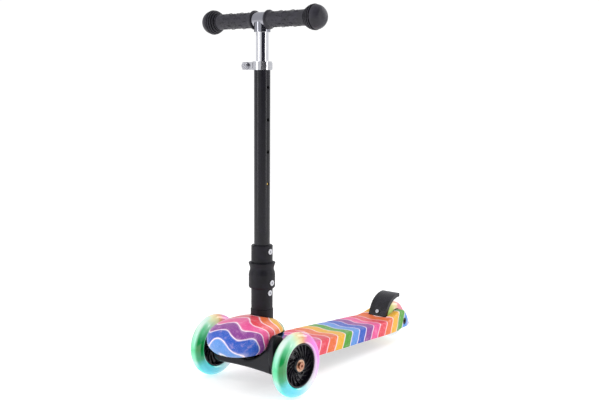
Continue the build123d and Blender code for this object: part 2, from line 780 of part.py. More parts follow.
def button_spring():
    """Folded leaf spring behind the snap button."""
    leaf = block(-9.4, -8.4, stem_y - 3, stem_y + 3, inner_tube_bottom + 16.2, button_z + 12)
    leaf += block(-9.4, 5.2, stem_y - 3, stem_y + 3, button_z + 11, button_z + 12)
    leaf += block(4.2, 5.2, stem_y - 3, stem_y + 3, button_z - 6, button_z + 12)
    return leaf


# ---------------------------------------------------------------- write every piece
for side, prefix in ((1, "left"), (-1, "right")):
    wheel(
        prefix, side * front_track_half, front_axle_y, front_wheel_radius,
        front_wheel_width, front_hub_radius, front_spokes,
    )
    save(grip(side), prefix + "_grip")
wheel("rear", 0, rear_axle_y, rear_wheel_radius, rear_wheel_width, rear_hub_radius, rear_spokes)

pieces = {
    "front_axle_bolts": front_axle_bolts, "front_magnet_cores": front_magnet_cores,
    "rear_magnet_core": rear_magnet_core, "centering_springs": centering_springs,
    "truck_beam": truck_beam, "truck_bush": truck_bush, "wheel_spacers": wheel_spacers,
    "kingpin_bolt": kingpin_bolt, "kingpin_washers": kingpin_washers, "kingpin_nut": kingpin_nut,
    "steering_head": steering_head, "front_cover": front_cover, "deck_shell": deck_shell,
    "deck_underplate": deck_underplate, "deck_screws": deck_screws,
    "rear_axle_bolt": rear_axle_bolt, "rear_axle_nut": rear_axle_nut, "rear_spacers": rear_spacers,
    "brake_fender": brake_fender, "brake_screw": brake_screw, "brake_wear_plate": brake_wear_plate,
    "brake_pin": brake_pin, "brake_spring": brake_spring, "stem_base_collar": stem_base_collar,
    "lower_knuckle": lower_knuckle, "fold_bolt": fold_bolt, "fold_nut": fold_nut, "stem_bolt": stem_bolt,
    "upper_knuckle": upper_knuckle, "lock_sleeve": lock_sleeve, "sleeve_screw": sleeve_screw,
    "tube_screw": tube_screw, "lock_spring": lock_spring, "stem_tube": stem_tube,
    "tube_bushing": tube_bushing,
    "clamp_collar": clamp_collar, "clamp_bolt": clamp_bolt, "clamp_nut": clamp_nut, "clamp_pin": clamp_pin,
    "clamp_lever": clamp_lever, "inner_tube": inner_tube, "tube_plug": tube_plug, "crossbar": crossbar,
    "handlebar_saddle": handlebar_saddle, "snap_button": snap_button, "button_spring": button_spring,
}
for name, make in pieces.items():
    save(make(), name)
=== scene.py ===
import math

import bmesh
import bpy
from mathutils import Matrix, Vector


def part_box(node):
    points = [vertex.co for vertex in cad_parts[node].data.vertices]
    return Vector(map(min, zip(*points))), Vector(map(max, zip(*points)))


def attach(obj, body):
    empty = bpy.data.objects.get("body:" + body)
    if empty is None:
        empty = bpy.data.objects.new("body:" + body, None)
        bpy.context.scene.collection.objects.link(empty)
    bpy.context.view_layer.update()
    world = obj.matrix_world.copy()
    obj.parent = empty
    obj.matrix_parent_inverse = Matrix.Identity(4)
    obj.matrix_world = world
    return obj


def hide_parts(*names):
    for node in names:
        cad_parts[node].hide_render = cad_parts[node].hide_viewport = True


bl_info = {
    "name": "Light-wheel kick scooter",
    "version": (1, 0, 0),
    "blender": (4, 5, 0),
    "location": "View3D > Sidebar > Kick scooter",
    "description": "Builds the finished pieces of a lean-to-steer kick scooter on its packed frame",
    "category": "Add Mesh",
}

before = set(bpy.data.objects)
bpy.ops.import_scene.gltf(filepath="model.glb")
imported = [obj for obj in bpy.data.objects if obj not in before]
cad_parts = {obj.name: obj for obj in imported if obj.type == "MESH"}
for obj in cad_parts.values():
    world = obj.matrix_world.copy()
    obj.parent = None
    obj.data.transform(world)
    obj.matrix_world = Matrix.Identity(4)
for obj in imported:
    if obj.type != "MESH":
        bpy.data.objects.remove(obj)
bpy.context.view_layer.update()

MM = 0.001
SIDES = ("left", "right")


def middle(node):
    """Middle of a CAD node's box."""
    low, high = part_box(node)
    return (low + high) / 2


FRONT_AXLE = middle("left_tyre")
FRONT_AXLE_LINE = Vector((0, FRONT_AXLE.y, FRONT_AXLE.z))
STEM_AXIS = middle("stem_tube")
COVER_LOW, COVER_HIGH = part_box("front_cover")
BAR_AXIS = middle("crossbar")


# ---- colours and finishes ----


def tint(red, green, blue):
    """A colour given as it looks on a screen, 0 to 255, in the linear values that shaders use."""
    def linear(level):
        share = level / 255
        return share / 12.92 if share <= 0.04045 else ((share + 0.055) / 1.055) ** 2.4
    return (linear(red), linear(green), linear(blue), 1.0)


def dimmed(colour, share):
    """A colour with its three values taken down to a share of themselves."""
    return tuple(level * share for level in colour[:3]) + (1.0,)


class Finish:
    """A material with one main shader, and short calls that add nodes to it."""

    def __init__(self, name, **settings):
        self.material = bpy.data.materials.new(name)
        self.material.use_nodes = True
        self.tree = self.material.node_tree
        self.tree.nodes.clear()
        self.shader = self.add("BsdfPrincipled")
        output = self.add("OutputMaterial")
        self.tree.links.new(self.shader.outputs["BSDF"], output.inputs["Surface"])
        for socket, value in settings.items():
            self.shader.inputs[socket.replace("_", " ")].default_value = value

    def add(self, kind, feeds=None, **settings):
        node = self.tree.nodes.new("ShaderNode" + kind)
        for key, value in settings.items():
            setattr(node, key, value)
        for socket, value in (feeds or {}).items():
            self.feed(node.inputs[socket], value)
        return node

    def feed(self, socket, value):
        if isinstance(value, bpy.types.NodeSocket):
            self.tree.links.new(value, socket)
        else:
            socket.default_value = value

    def set(self, socket, value):
        self.feed(self.shader.inputs[socket], value)

    def math(self, operation, *values, clamp=False):
        node = self.add("Math", operation=operation, use_clamp=clamp)
        for socket, value in zip(node.inputs, values):
            self.feed(socket, value)
        return node.outputs[0]

    def place(self):
        """The Object coordinates as a vector socket."""
        return self.add("TexCoord").outputs["Object"]

    def axes(self, origin=(0, 0, 0)):
        """The three distances from origin, as sockets."""
        moved = self.add("VectorMath", {0: self.place(), 1: tuple(origin)}, operation="SUBTRACT")
        return self.add("SeparateXYZ", {0: moved.outputs[0]}).outputs

    def noise(self, size, detail=2.0, roughness=0.5, vector=None):
        """Noise whose lumps are about size metres wide."""
        feeds = {"Vector": vector or self.place(), "Scale": 1 / size, "Detail": detail, "Roughness": roughness}
        return self.add("TexNoise", feeds).outputs["Fac"]

    def remap(self, value, low, high, to_low=0.0, to_high=1.0, smooth=False):
        node = self.add("MapRange", {0: value, 1: low, 2: high, 3: to_low, 4: to_high})
        node.interpolation_type = "SMOOTHSTEP" if smooth else "LINEAR"
        return node.outputs[0]

    def mix(self, share, first, second, blend="MIX"):
        node = self.add("Mix", data_type="RGBA", blend_type=blend)
        self.feed(node.inputs[0], share)
        self.feed(node.inputs[6], first)
        self.feed(node.inputs[7], second)
        return node.outputs[2]

    def ramp(self, value, stops, steps=False):
        node = self.add("ValToRGB", {0: value})
        node.color_ramp.interpolation = "CONSTANT" if steps else "LINEAR"
        points = node.color_ramp.elements
        while len(points) < len(stops):
            points.new(1.0)
        for point, (position, colour) in zip(points, stops):
            point.position = position
            point.color = colour
        return node.outputs[0]

    def bump(self, height, strength, distance):
        node = self.add("Bump", {"Height": height, "Strength": strength, "Distance": distance})
        self.set("Normal", node.outputs[0])


# Order of the print's colours, from front to back.
PRINT_COLOURS = (
    tint(236, 78, 92),
    tint(240, 118, 62),
    tint(244, 182, 44),
    tint(84, 164, 48),
    tint(96, 154, 228),
    tint(50, 94, 196),
    tint(146, 70, 154),
    tint(240, 92, 156),
)
PRINT_SHADE = 0.82
LINE_COLOUR = tint(240, 222, 234)


def add_print(finish, band, pitch, line_width, speckle):
    """Colours a finish in bands: band counts them, and pitch is one band's real width."""
    count = len(PRINT_COLOURS)
    turn = finish.math("FRACT", finish.math("DIVIDE", band, float(count)))
    stops = [(i / count, dimmed(colour, PRINT_SHADE)) for i, colour in enumerate(PRINT_COLOURS)]
    colour = finish.ramp(turn, stops, steps=True)
    inside = finish.math("FRACT", band)
    edge = finish.math("MULTIPLY", finish.math("MINIMUM", inside, finish.math("SUBTRACT", 1.0, inside)), pitch)
    cloud = finish.noise(9 * MM, detail=3.0)
    lighter = finish.remap(cloud, 0.5, 0.8, 0.0, 0.3, smooth=True)
    colour = finish.mix(lighter, colour, tint(226, 186, 208))
    darker = finish.remap(cloud, 0.45, 0.2, 0.0, 0.5, smooth=True)
    colour = finish.mix(darker, colour, finish.mix(1.0, colour, (0.62, 0.58, 0.8, 1.0), blend="MULTIPLY"))
    grit = finish.noise(1.1 * MM, detail=2.0)
    specks = finish.remap(grit, 0.6, 0.72, 0.0, speckle, smooth=True)
    colour = finish.mix(specks, colour, tint(236, 206, 222))
    halo = finish.remap(edge, 0.5 * line_width, 2.6 * line_width, 0.34, 0.0, smooth=True)
    colour = finish.mix(halo, colour, LINE_COLOUR)
    wander = finish.remap(finish.noise(14 * MM), 0.3, 0.7, 0.3 * line_width, 0.62 * line_width)
    line = finish.remap(
        finish.math("SUBTRACT", edge, wander), -0.1 * line_width, 0.25 * line_width, 0.96, 0.0, smooth=True,
    )
    colour = finish.mix(line, colour, LINE_COLOUR)
    finish.set("Base Color", colour)
    grain = finish.noise(0.5 * MM, detail=1.0)
    finish.bump(grain, 0.05, 0.05 * MM)
    return colour


def deck_print(settings):
    """Bands across the deck that lean back a little where they go down its sides."""
    finish = Finish(
        "deck_print", Roughness=0.36, Specular_IOR_Level=0.16, Coat_Weight=0.08, Coat_Roughness=0.15,
    )
    x, y, z = finish.axes()
    level = finish.math("ADD", finish.math("MULTIPLY", y, 0.045), z)
    height = finish.math("SUBTRACT", level, 35.3 * MM)
    along = finish.math("SUBTRACT", y, finish.math("MULTIPLY", height, settings.side_lean))
    phase = finish.math("MULTIPLY_ADD", x, 2 * math.pi / settings.wave_length, 1.1)
    wave = finish.math("MULTIPLY", finish.math("SINE", phase), settings.wave_height)
    wander = finish.math("MULTIPLY", finish.math("SUBTRACT", finish.noise(34 * MM), 0.5), 9 * MM)
    along = finish.math("ADD", finish.math("ADD", along, wave), wander)
    band = finish.math("DIVIDE", finish.math("ADD", along, 70 * MM), settings.deck_pitch)
    add_print(finish, band, settings.deck_pitch, 1.25 * MM, 0.26)
    return finish.material


def cover_print(settings):
    """Bands that fan out over the domed cover, about a line below its top."""
    finish = Finish("cover_print", Roughness=0.3, Specular_IOR_Level=0.22, Coat_Weight=0.22, Coat_Roughness=0.1)
    x, y, z = finish.axes((0, -222 * MM, 48 * MM))
    turn = finish.math("DEGREES", finish.math("ARCTAN2", y, z))
    share = finish.math("DIVIDE", x, settings.cover_half_width + 1 * MM)
    front = finish.math("MULTIPLY", finish.remap(turn, 0.0, -30.0), finish.remap(turn, -34.0, -52.0, 1.0, 0.08))
    sag = finish.math("MULTIPLY_ADD", finish.math("MULTIPLY", share, share), -10.0, 7.0)
    turn = finish.math("MULTIPLY_ADD", front, sag, turn)
    held = finish.math("MAXIMUM", finish.math("MINIMUM", share, 1.0), -1.0)
    across = finish.math("MULTIPLY", finish.math("ARCSINE", held), settings.cover_half_width)
    phase = finish.math(
        "MULTIPLY", finish.math("SUBTRACT", across, 5 * MM), 2 * math.pi / settings.cover_wave_length,
    )
    height = finish.math("MULTIPLY_ADD", finish.math("MULTIPLY", share, share), 2.5, settings.cover_wave)
    wave = finish.math("MULTIPLY", finish.math("COSINE", phase), height)
    wander = finish.math("MULTIPLY", finish.math("SUBTRACT", finish.noise(30 * MM), 0.5), 5.0)
    turn = finish.math("ADD", finish.math("SUBTRACT", turn, wave), wander)
    band = finish.math("DIVIDE", finish.math("ADD", turn, 54.0), settings.cover_pitch)
    band = finish.math("ADD", band, 5.0)
    add_print(finish, band, settings.cover_pitch * 1.45 * MM, 1.4 * MM, 0.34)
    return finish.material


def black_nylon(name="black_nylon", roughness=0.42, grain=0.35, gloss=0.26):
    """Moulded black nylon: fine spark-eroded grain, slightly paler where it is rubbed."""
    finish = Finish(name, Roughness=roughness, Specular_IOR_Level=gloss)
    cloud = finish.noise(12 * MM, detail=3.0)
    low, high = tint(9, 8, 14), tint(22, 20, 30)
    finish.set("Base Color", finish.mix(finish.remap(cloud, 0.35, 0.7), low, high))
    finish.set("Roughness", finish.remap(cloud, 0.3, 0.75, roughness - 0.06, roughness + 0.1))
    finish.bump(finish.noise(0.35 * MM, detail=1.0), grain, 0.06 * MM)
    return finish.material


def powder_black():
    """Satin black powder coat with faint orange peel."""
    finish = Finish("powder_black", Roughness=0.3, Specular_IOR_Level=0.34)
    cloud = finish.noise(20 * MM, detail=2.0)
    finish.set("Base Color", finish.mix(finish.remap(cloud, 0.3, 0.7), tint(8, 7, 13), tint(16, 14, 24)))
    finish.set("Roughness", finish.remap(cloud, 0.3, 0.7, 0.2, 0.28))
    finish.bump(finish.noise(0.9 * MM, detail=2.0), 0.16, 0.05 * MM)
    return finish.material


def brushed_metal(name, colour, roughness, axis=2, dark=0.8, relief=0.06):
    """Metal with faint lines drawn out along one axis."""
    finish = Finish(name, Metallic=1.0, Roughness=roughness)
    scale = [1.0, 1.0, 1.0]
    scale[axis] = 0.06
    drawn = finish.add("Mapping", {"Vector": finish.place(), "Scale": tuple(scale)}).outputs[0]
    lines = finish.noise(0.6 * MM, detail=3.0, vector=drawn)
    shade = tuple(level * dark for level in colour[:3]) + (1.0,)
    finish.set("Base Color", finish.mix(finish.remap(lines, 0.3, 0.7), shade, colour))
    finish.set("Roughness", finish.remap(lines, 0.3, 0.7, max(0.02, roughness - 0.04), roughness + 0.06))
    finish.bump(lines, relief, 0.02 * MM)
    return finish.material


def soft_rubber(name, shade_in_recesses=False):
    """Dark grey soft rubber, with painted shade in the grooves round the grips' ball ends if asked."""
    finish = Finish(name, Roughness=0.45, Specular_IOR_Level=0.4, Sheen_Weight=0.03, Sheen_Roughness=0.5)
    cloud = finish.noise(16 * MM, detail=3.0)
    colour = finish.mix(finish.remap(cloud, 0.3, 0.7), tint(22, 21, 28), tint(40, 38, 48))
    if shade_in_recesses:
        # Painted shade: the grooves between the ball's ridges are coloured near black and lose their reflection.
        aside = finish.math("ABSOLUTE", finish.axes()[0])
        turn = finish.math("FRACT", finish.math("DIVIDE", finish.math("SUBTRACT", aside, 108.5 * MM), 4.2 * MM))
        recess_shade = finish.math("LESS_THAN", turn, 0.42)
        span = finish.math(
            "MULTIPLY", finish.math("GREATER_THAN", aside, 108 * MM),
            finish.math("LESS_THAN", aside, 127.5 * MM),
        )
        recess_shade = finish.math("MULTIPLY", recess_shade, span)
        colour = finish.mix(recess_shade, colour, tint(4, 4, 6))
        finish.set("Specular IOR Level", finish.remap(recess_shade, 0.0, 1.0, 0.4, 0.0))
    finish.set("Base Color", colour)
    finish.set("Roughness", finish.remap(cloud, 0.3, 0.7, 0.4, 0.54))
    finish.bump(finish.noise(0.5 * MM, detail=2.0), 0.4, 0.06 * MM)
    return finish.material


# Colours of a lit tyre round its axle: 0 is the front, a quarter the top, a half the back.
CROWN_GLOW = (
    (0.00, tint(80, 232, 160)), (0.06, tint(165, 250, 214)), (0.13, tint(236, 253, 246)),
    (0.20, tint(216, 250, 236)), (0.235, tint(252, 242, 190)), (0.27, tint(236, 172, 126)),
    (0.31, tint(252, 222, 242)), (0.40, tint(250, 205, 250)), (0.55, tint(252, 232, 252)),
    (0.65, tint(250, 252, 255)), (0.71, tint(196, 250, 250)), (0.79, tint(80, 248, 238)),
    (0.88, tint(44, 250, 238)), (0.93, tint(190, 252, 236)), (0.96, tint(140, 248, 200)), (
        1.0, tint(80, 232, 160),
    ),
)
WALL_GLOW = (
    (0.00, tint(8, 142, 60)), (0.06, tint(20, 152, 74)), (0.12, tint(110, 214, 156)),
    (0.17, tint(196, 250, 220)), (0.22, tint(240, 242, 186)), (0.255, tint(238, 178, 116)),
    (0.30, tint(240, 120, 182)), (0.36, tint(244, 122, 228)), (0.46, tint(244, 140, 240)),
    (0.55, tint(240, 196, 252)), (0.63, tint(250, 242, 255)), (0.69, tint(216, 250, 255)),
    (0.76, tint(132, 234, 252)), (0.84, tint(92, 228, 252)), (0.91, tint(84, 218, 226)),
    (0.95, tint(30, 172, 116)), (1.0, tint(8, 142, 60)),
)


REAR_GLOW = (
    (0.00, tint(150, 214, 190)), (0.07, tint(176, 220, 120)), (0.14, tint(214, 232, 120)),
    (0.21, tint(250, 236, 170)), (0.29, tint(246, 150, 150)), (0.38, tint(246, 120, 150)),
    (0.48, tint(246, 176, 216)), (0.60, tint(244, 232, 246)), (0.75, tint(240, 244, 248)),
    (0.90, tint(232, 244, 246)), (1.0, tint(150, 214, 190)),
)


def lit_tyre(name, centre, radius, crown_glow, wall_glow, settings):
    """Clear cast tyre lit from its rim: colours change round the axle and deepen towards the rim."""
    finish = Finish(name, Roughness=0.16, Coat_Weight=0.7, Coat_Roughness=0.06, IOR=1.5)
    x, y, z = finish.axes(centre)
    turn = finish.math("ARCTAN2", z, finish.math("MULTIPLY", y, -1.0))
    turn = finish.math("DIVIDE", turn, 2 * math.pi)
    cloud = finish.math("MULTIPLY", finish.math("SUBTRACT", finish.noise(0.3 * radius), 0.5), 0.05)
    turn = finish.math("FRACT", finish.math("ADD", finish.math("ADD", turn, cloud), 1.0))
    out = finish.math("SQRT", finish.math("ADD", finish.math("MULTIPLY", y, y), finish.math("MULTIPLY", z, z)))
    reach = finish.math("DIVIDE", out, radius)
    crown = finish.ramp(turn, crown_glow)
    wall = finish.ramp(turn, wall_glow)
    aside = finish.math("ABSOLUTE", x)
    shoulder = finish.remap(aside, 3.0 * MM, 9.0 * MM, 0.0, 1.0, smooth=True)
    inner = finish.remap(reach, 0.725, 0.75, 0.25, 1.0, smooth=True)
    deep = finish.math("MULTIPLY", shoulder, inner)
    colour = finish.mix(deep, crown, wall)
    finish.set(
        "Base Color",
        finish.mix(1.0, colour, (settings.body, settings.body, settings.body, 1.0), blend="MULTIPLY"),
    )
    finish.set("Emission Color", colour)
    finish.shader.inputs["Emission Strength"].default_value = settings.glow
    finish.bump(finish.noise(6 * MM, detail=1.0), 0.03, 0.2 * MM)
    return finish.material


def paint(material, *names):
    """Gives CAD nodes their finish."""
    for name in names:
        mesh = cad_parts[name].data
        mesh.materials.clear()
        mesh.materials.append(material)


# ---- mesh helpers ----


def piece(name, mesh, material, body, slot, *stands_for):
    """Puts a finished mesh in the scene, on its body and in place of its CAD nodes."""
    thing = bpy.data.objects.new(name, mesh)
    bpy.context.scene.collection.objects.link(thing)
    mesh.materials.clear()
    mesh.materials.append(material)
    for face in mesh.polygons:
        face.use_smooth = True
    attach(thing, body)
    if stands_for:
        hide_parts(*stands_for)
    return thing


def mesh_of(name, points, faces):
    """A mesh with its doubles merged and its faces turned outwards."""
    mesh = bpy.data.meshes.new(name)
    mesh.from_pydata([tuple(p) for p in points], [], faces)
    shaped = bmesh.new()
    shaped.from_mesh(mesh)
    bmesh.ops.remove_doubles(shaped, verts=shaped.verts, dist=1e-6)
    bmesh.ops.recalc_face_normals(shaped, faces=shaped.faces)
    shaped.to_mesh(mesh)
    shaped.free()
    return mesh


def joined(name, meshes):
    """One mesh out of several."""
    whole = bmesh.new()
    for part in meshes:
        whole.from_mesh(part)
    mesh = bpy.data.meshes.new(name)
    whole.to_mesh(mesh)
    whole.free()
    return mesh


def grid_faces(rows, columns, closed_rows=False, closed_columns=True):
    """Faces of a grid of points, row after row."""
    faces = []
    for r in range(rows if closed_rows else rows - 1):
        for c in range(columns if closed_columns else columns - 1):
            r2, c2 = (r + 1) % rows, (c + 1) % columns
            faces.append((r * columns + c, r * columns + c2, r2 * columns + c2, r2 * columns + c))
    return faces


def rounded(profile, radius, steps=4):
    """A closed outline with each corner rounded by up to radius."""
    out = []
    count = len(profile)
    for i, here in enumerate(profile):
        here = Vector(here)
        before, after = Vector(profile[i - 1]) - here, Vector(profile[(i + 1) % count]) - here
        reach = min(radius, before.length * 0.45, after.length * 0.45)
        start, end = here + before.normalized() * reach, here + after.normalized() * reach
        for k in range(steps + 1):
            t = k / steps
            out.append(tuple((1 - t) ** 2 * start + 2 * t * (1 - t) * here + t * t * end))
    return out


def turned_x(name, profile, centre, segments=96):
    """Turns a closed outline of (x, radius) points about a line along X through centre."""
    points = []
    for i in range(segments):
        angle = 2 * math.pi * i / segments
        for x, radius in profile:
            points.append(centre + Vector((x, radius * math.cos(angle), radius * math.sin(angle))))
    return mesh_of(name, points, grid_faces(segments, len(profile), closed_rows=True))


def modified(thing, kind, **settings):
    """Adds a modifier, and turns the object's evaluated shape into its mesh."""
    modifier = thing.modifiers.new(kind.title(), kind)
    for key, value in settings.items():
        setattr(modifier, key, value)
    graph = bpy.context.evaluated_depsgraph_get()
    mesh = bpy.data.meshes.new_from_object(thing.evaluated_get(graph))
    thing.modifiers.remove(modifier)
    return mesh


def scratch(mesh):
    """A short-lived object that holds a mesh while modifiers work on it."""
    thing = bpy.data.objects.new("work", mesh)
    bpy.context.scene.collection.objects.link(thing)
    return thing


def drop(thing):
    bpy.data.objects.remove(thing)


# ---- Geometry Nodes helpers ----


class Recipe:
    """A Geometry Nodes tree with named inputs, run once on a small carrier object."""

    def __init__(self, name):
        self.tree = bpy.data.node_groups.new(name, "GeometryNodeTree")
        self.tree.interface.new_socket("Geometry", in_out="INPUT", socket_type="NodeSocketGeometry")
        self.tree.interface.new_socket("Geometry", in_out="OUTPUT", socket_type="NodeSocketGeometry")
        self.inputs = self.tree.nodes.new("NodeGroupInput")
        self.outputs = self.tree.nodes.new("NodeGroupOutput")
        self.values = {}

    def size(self, name, value, kind="NodeSocketFloat"):
        """A named input; returns its socket."""
        socket = self.tree.interface.new_socket(name, in_out="INPUT", socket_type=kind)
        self.values[socket.identifier] = value
        return self.inputs.outputs[name]

    def add(self, kind, feeds=None, **settings):
        node = self.tree.nodes.new(kind)
        for key, value in settings.items():
            setattr(node, key, value)
        for socket, value in (feeds or {}).items():
            self.feed(node.inputs[socket], value)
        return node

    def feed(self, socket, value):
        if isinstance(value, bpy.types.NodeSocket):
            self.tree.links.new(value, socket)
        else:
            socket.default_value = value

    def math(self, operation, *values):
        node = self.add("ShaderNodeMath", operation=operation)
        for socket, value in zip(node.inputs, values):
            self.feed(socket, value)
        return node.outputs[0]

    def vector(self, x=0.0, y=0.0, z=0.0):
        return self.add("ShaderNodeCombineXYZ", {"X": x, "Y": y, "Z": z}).outputs[0]

    def mesh(self, geometry, material):
        """Ends the tree in real geometry with a material, and returns the mesh that it makes."""
        real = self.add("GeometryNodeRealizeInstances", {"Geometry": geometry}).outputs[0]
        done = self.add("GeometryNodeSetMaterial", {"Geometry": real, "Material": material}).outputs[0]
        self.tree.links.new(done, self.outputs.inputs[0])
        carrier = scratch(bpy.data.meshes.new("carrier"))
        modifier = carrier.modifiers.new("recipe", "NODES")
        modifier.node_group = self.tree
        for identifier, value in self.values.items():
            modifier[identifier] = value
        graph = bpy.context.evaluated_depsgraph_get()
        mesh = bpy.data.meshes.new_from_object(carrier.evaluated_get(graph))
        drop(carrier)
        if not mesh.polygons:
            raise RuntimeError(f"the tree {self.tree.name} made no faces")
        return mesh


def moved(mesh, offset, mirror_x=False):
    """A mesh shifted by offset, after mirroring it in X if asked, with its faces turned outwards."""
    shaped = bmesh.new()
    shaped.from_mesh(mesh)
    for vert in shaped.verts:
        if mirror_x:
            vert.co.x = -vert.co.x
        vert.co += offset
    if mirror_x:
        bmesh.ops.reverse_faces(shaped, faces=shaped.faces)
    made = mesh.copy()
    shaped.to_mesh(made)
    shaped.free()
    return made


def swirl_ribs(name, material, count, inner, outer, sweep, width, height, face):
    """Curved ribs that sweep out from a hub's core to its rim, about X, standing on a face at x = face."""
    recipe = Recipe(name)
    inner = recipe.size("Inner radius", inner)
    outer = recipe.size("Outer radius", outer)
    sweep = recipe.size("Sweep angle", sweep)
    width = recipe.size("Rib width", width)
    height = recipe.size("Rib height", height)
    face = recipe.size("Face", face)
    count = recipe.size("Count", count, "NodeSocketInt")
    half = recipe.math("MULTIPLY", sweep, 0.5)
    mean = recipe.math("MULTIPLY", recipe.math("ADD", inner, outer), 0.5)
    def at(radius, angle):
        return recipe.vector(0.0, recipe.math("MULTIPLY", radius, recipe.math("COSINE", angle)),
                             recipe.math("MULTIPLY", radius, recipe.math("SINE", angle)))
    path = recipe.add("GeometryNodeCurveQuadraticBezier", {
        "Resolution": 8, "Start": at(inner, 0.0),
        "Middle": at(mean, recipe.math("MULTIPLY", half, 0.4)), "End": at(outer, sweep),
    }).outputs[0]
    section = recipe.add(
        "GeometryNodeCurvePrimitiveQuadrilateral", {"Width": height, "Height": width},
    ).outputs[0]
    rib = recipe.add(
        "GeometryNodeCurveToMesh", {"Curve": path, "Profile Curve": section, "Fill Caps": True},
    ).outputs[0]
    rib = recipe.add("GeometryNodeTransform", {"Geometry": rib, "Translation": recipe.vector(face)}).outputs[0]
    dots = recipe.add("GeometryNodeMeshLine", {"Count": count, "Offset": (0, 0, 0)}).outputs[0]
    index = recipe.add("GeometryNodeInputIndex").outputs[0]
    angle = recipe.math("DIVIDE", recipe.math("MULTIPLY", index, 2 * math.pi), count)
    spread = recipe.add(
        "GeometryNodeInstanceOnPoints", {"Points": dots, "Instance": rib, "Rotation": recipe.vector(angle)},
    ).outputs[0]
    return recipe.mesh(spread, material)


def stacked_rings(name, material, count, start, step, radius_low, radius_high, thickness):
    """Raised rings about X whose radius changes evenly from first to last."""
    recipe = Recipe(name)
    count = recipe.size("Count", count, "NodeSocketInt")
    start = recipe.size("Start", start)
    step = recipe.size("Step", step)
    low = recipe.size("First radius", radius_low)
    high = recipe.size("Last radius", radius_high)
    thickness = recipe.size("Thickness", thickness)
    circle = recipe.add("GeometryNodeCurvePrimitiveCircle", {"Resolution": 64, "Radius": 1.0}).outputs[0]
    section = recipe.add("GeometryNodeCurvePrimitiveCircle", {"Resolution": 6, "Radius": thickness}).outputs[0]
    dots = recipe.add(
        "GeometryNodeMeshLine",
        {"Count": count, "Start Location": recipe.vector(start), "Offset": recipe.vector(step)},
    ).outputs[0]
    index = recipe.add("GeometryNodeInputIndex").outputs[0]
    share = recipe.math("DIVIDE", index, recipe.math("MAXIMUM", recipe.math("SUBTRACT", count, 1.0), 1.0))
    bulge = recipe.math("SINE", recipe.math("MULTIPLY", share, math.pi / 2))
    radius = recipe.math("ADD", low, recipe.math("MULTIPLY", bulge, recipe.math("SUBTRACT", high, low)))
    turned = recipe.vector(0.0, math.pi / 2, 0.0)
    placed = recipe.add(
        "GeometryNodeInstanceOnPoints",
        {
            "Points": dots, "Instance": circle, "Rotation": turned,
            "Scale": recipe.vector(radius, radius, radius),
        },
    ).outputs[0]
    real = recipe.add("GeometryNodeRealizeInstances", {"Geometry": placed}).outputs[0]
    rings = recipe.add("GeometryNodeCurveToMesh", {"Curve": real, "Profile Curve": section}).outputs[0]
    return recipe.mesh(rings, material)


def grip_crescents(name, material, count, start, step, radius, size, thickness):
    """Raised crescents in rows round a grip's barrel, each row turned by half a pitch."""
    recipe = Recipe(name)
    rows = recipe.size("Rows", count, "NodeSocketInt")
    around = recipe.size("Around", 6, "NodeSocketInt")
    start = recipe.size("Start", start)
    step = recipe.size("Step", step)
    radius = recipe.size("Barrel radius", radius)
    size = recipe.size("Crescent size", size)
    thickness = recipe.size("Thickness", thickness)
    arc = recipe.add(
        "GeometryNodeCurveArc", {"Resolution": 10, "Radius": size, "Start Angle": 0.3, "Sweep Angle": 3.9},
    ).outputs["Curve"]
    section = recipe.add("GeometryNodeCurvePrimitiveCircle", {"Resolution": 6, "Radius": thickness}).outputs[0]
    mark = recipe.add(
        "GeometryNodeCurveToMesh", {"Curve": arc, "Profile Curve": section, "Fill Caps": True},
    ).outputs[0]
    mark = recipe.add(
        "GeometryNodeTransform", {"Geometry": mark, "Translation": recipe.vector(0.0, 0.0, radius)},
    ).outputs[0]
    total = recipe.math("MULTIPLY", rows, around)
    dots = recipe.add("GeometryNodeMeshLine", {"Count": total, "Offset": (0, 0, 0)}).outputs[0]
    index = recipe.add("GeometryNodeInputIndex").outputs[0]
    row = recipe.math("FLOOR", recipe.math("DIVIDE", index, around))
    column = recipe.math("ADD", recipe.math("MODULO", index, around), recipe.math("MULTIPLY", row, 0.5))
    angle = recipe.math("DIVIDE", recipe.math("MULTIPLY", column, 2 * math.pi), around)
    spot = recipe.vector(recipe.math("ADD", start, recipe.math("MULTIPLY", row, step)))
    dots = recipe.add("GeometryNodeSetPosition", {"Geometry": dots, "Position": spot}).outputs[0]
    placed = recipe.add(
        "GeometryNodeInstanceOnPoints", {"Points": dots, "Instance": mark, "Rotation": recipe.vector(angle)},
    ).outputs[0]
    return recipe.mesh(placed, material)


# ---- shapes of the pieces ----


def step_between(low, high, value):
    share = min(1.0, max(0.0, (value - low) / (high - low)))
    return share * share * (3 - 2 * share)


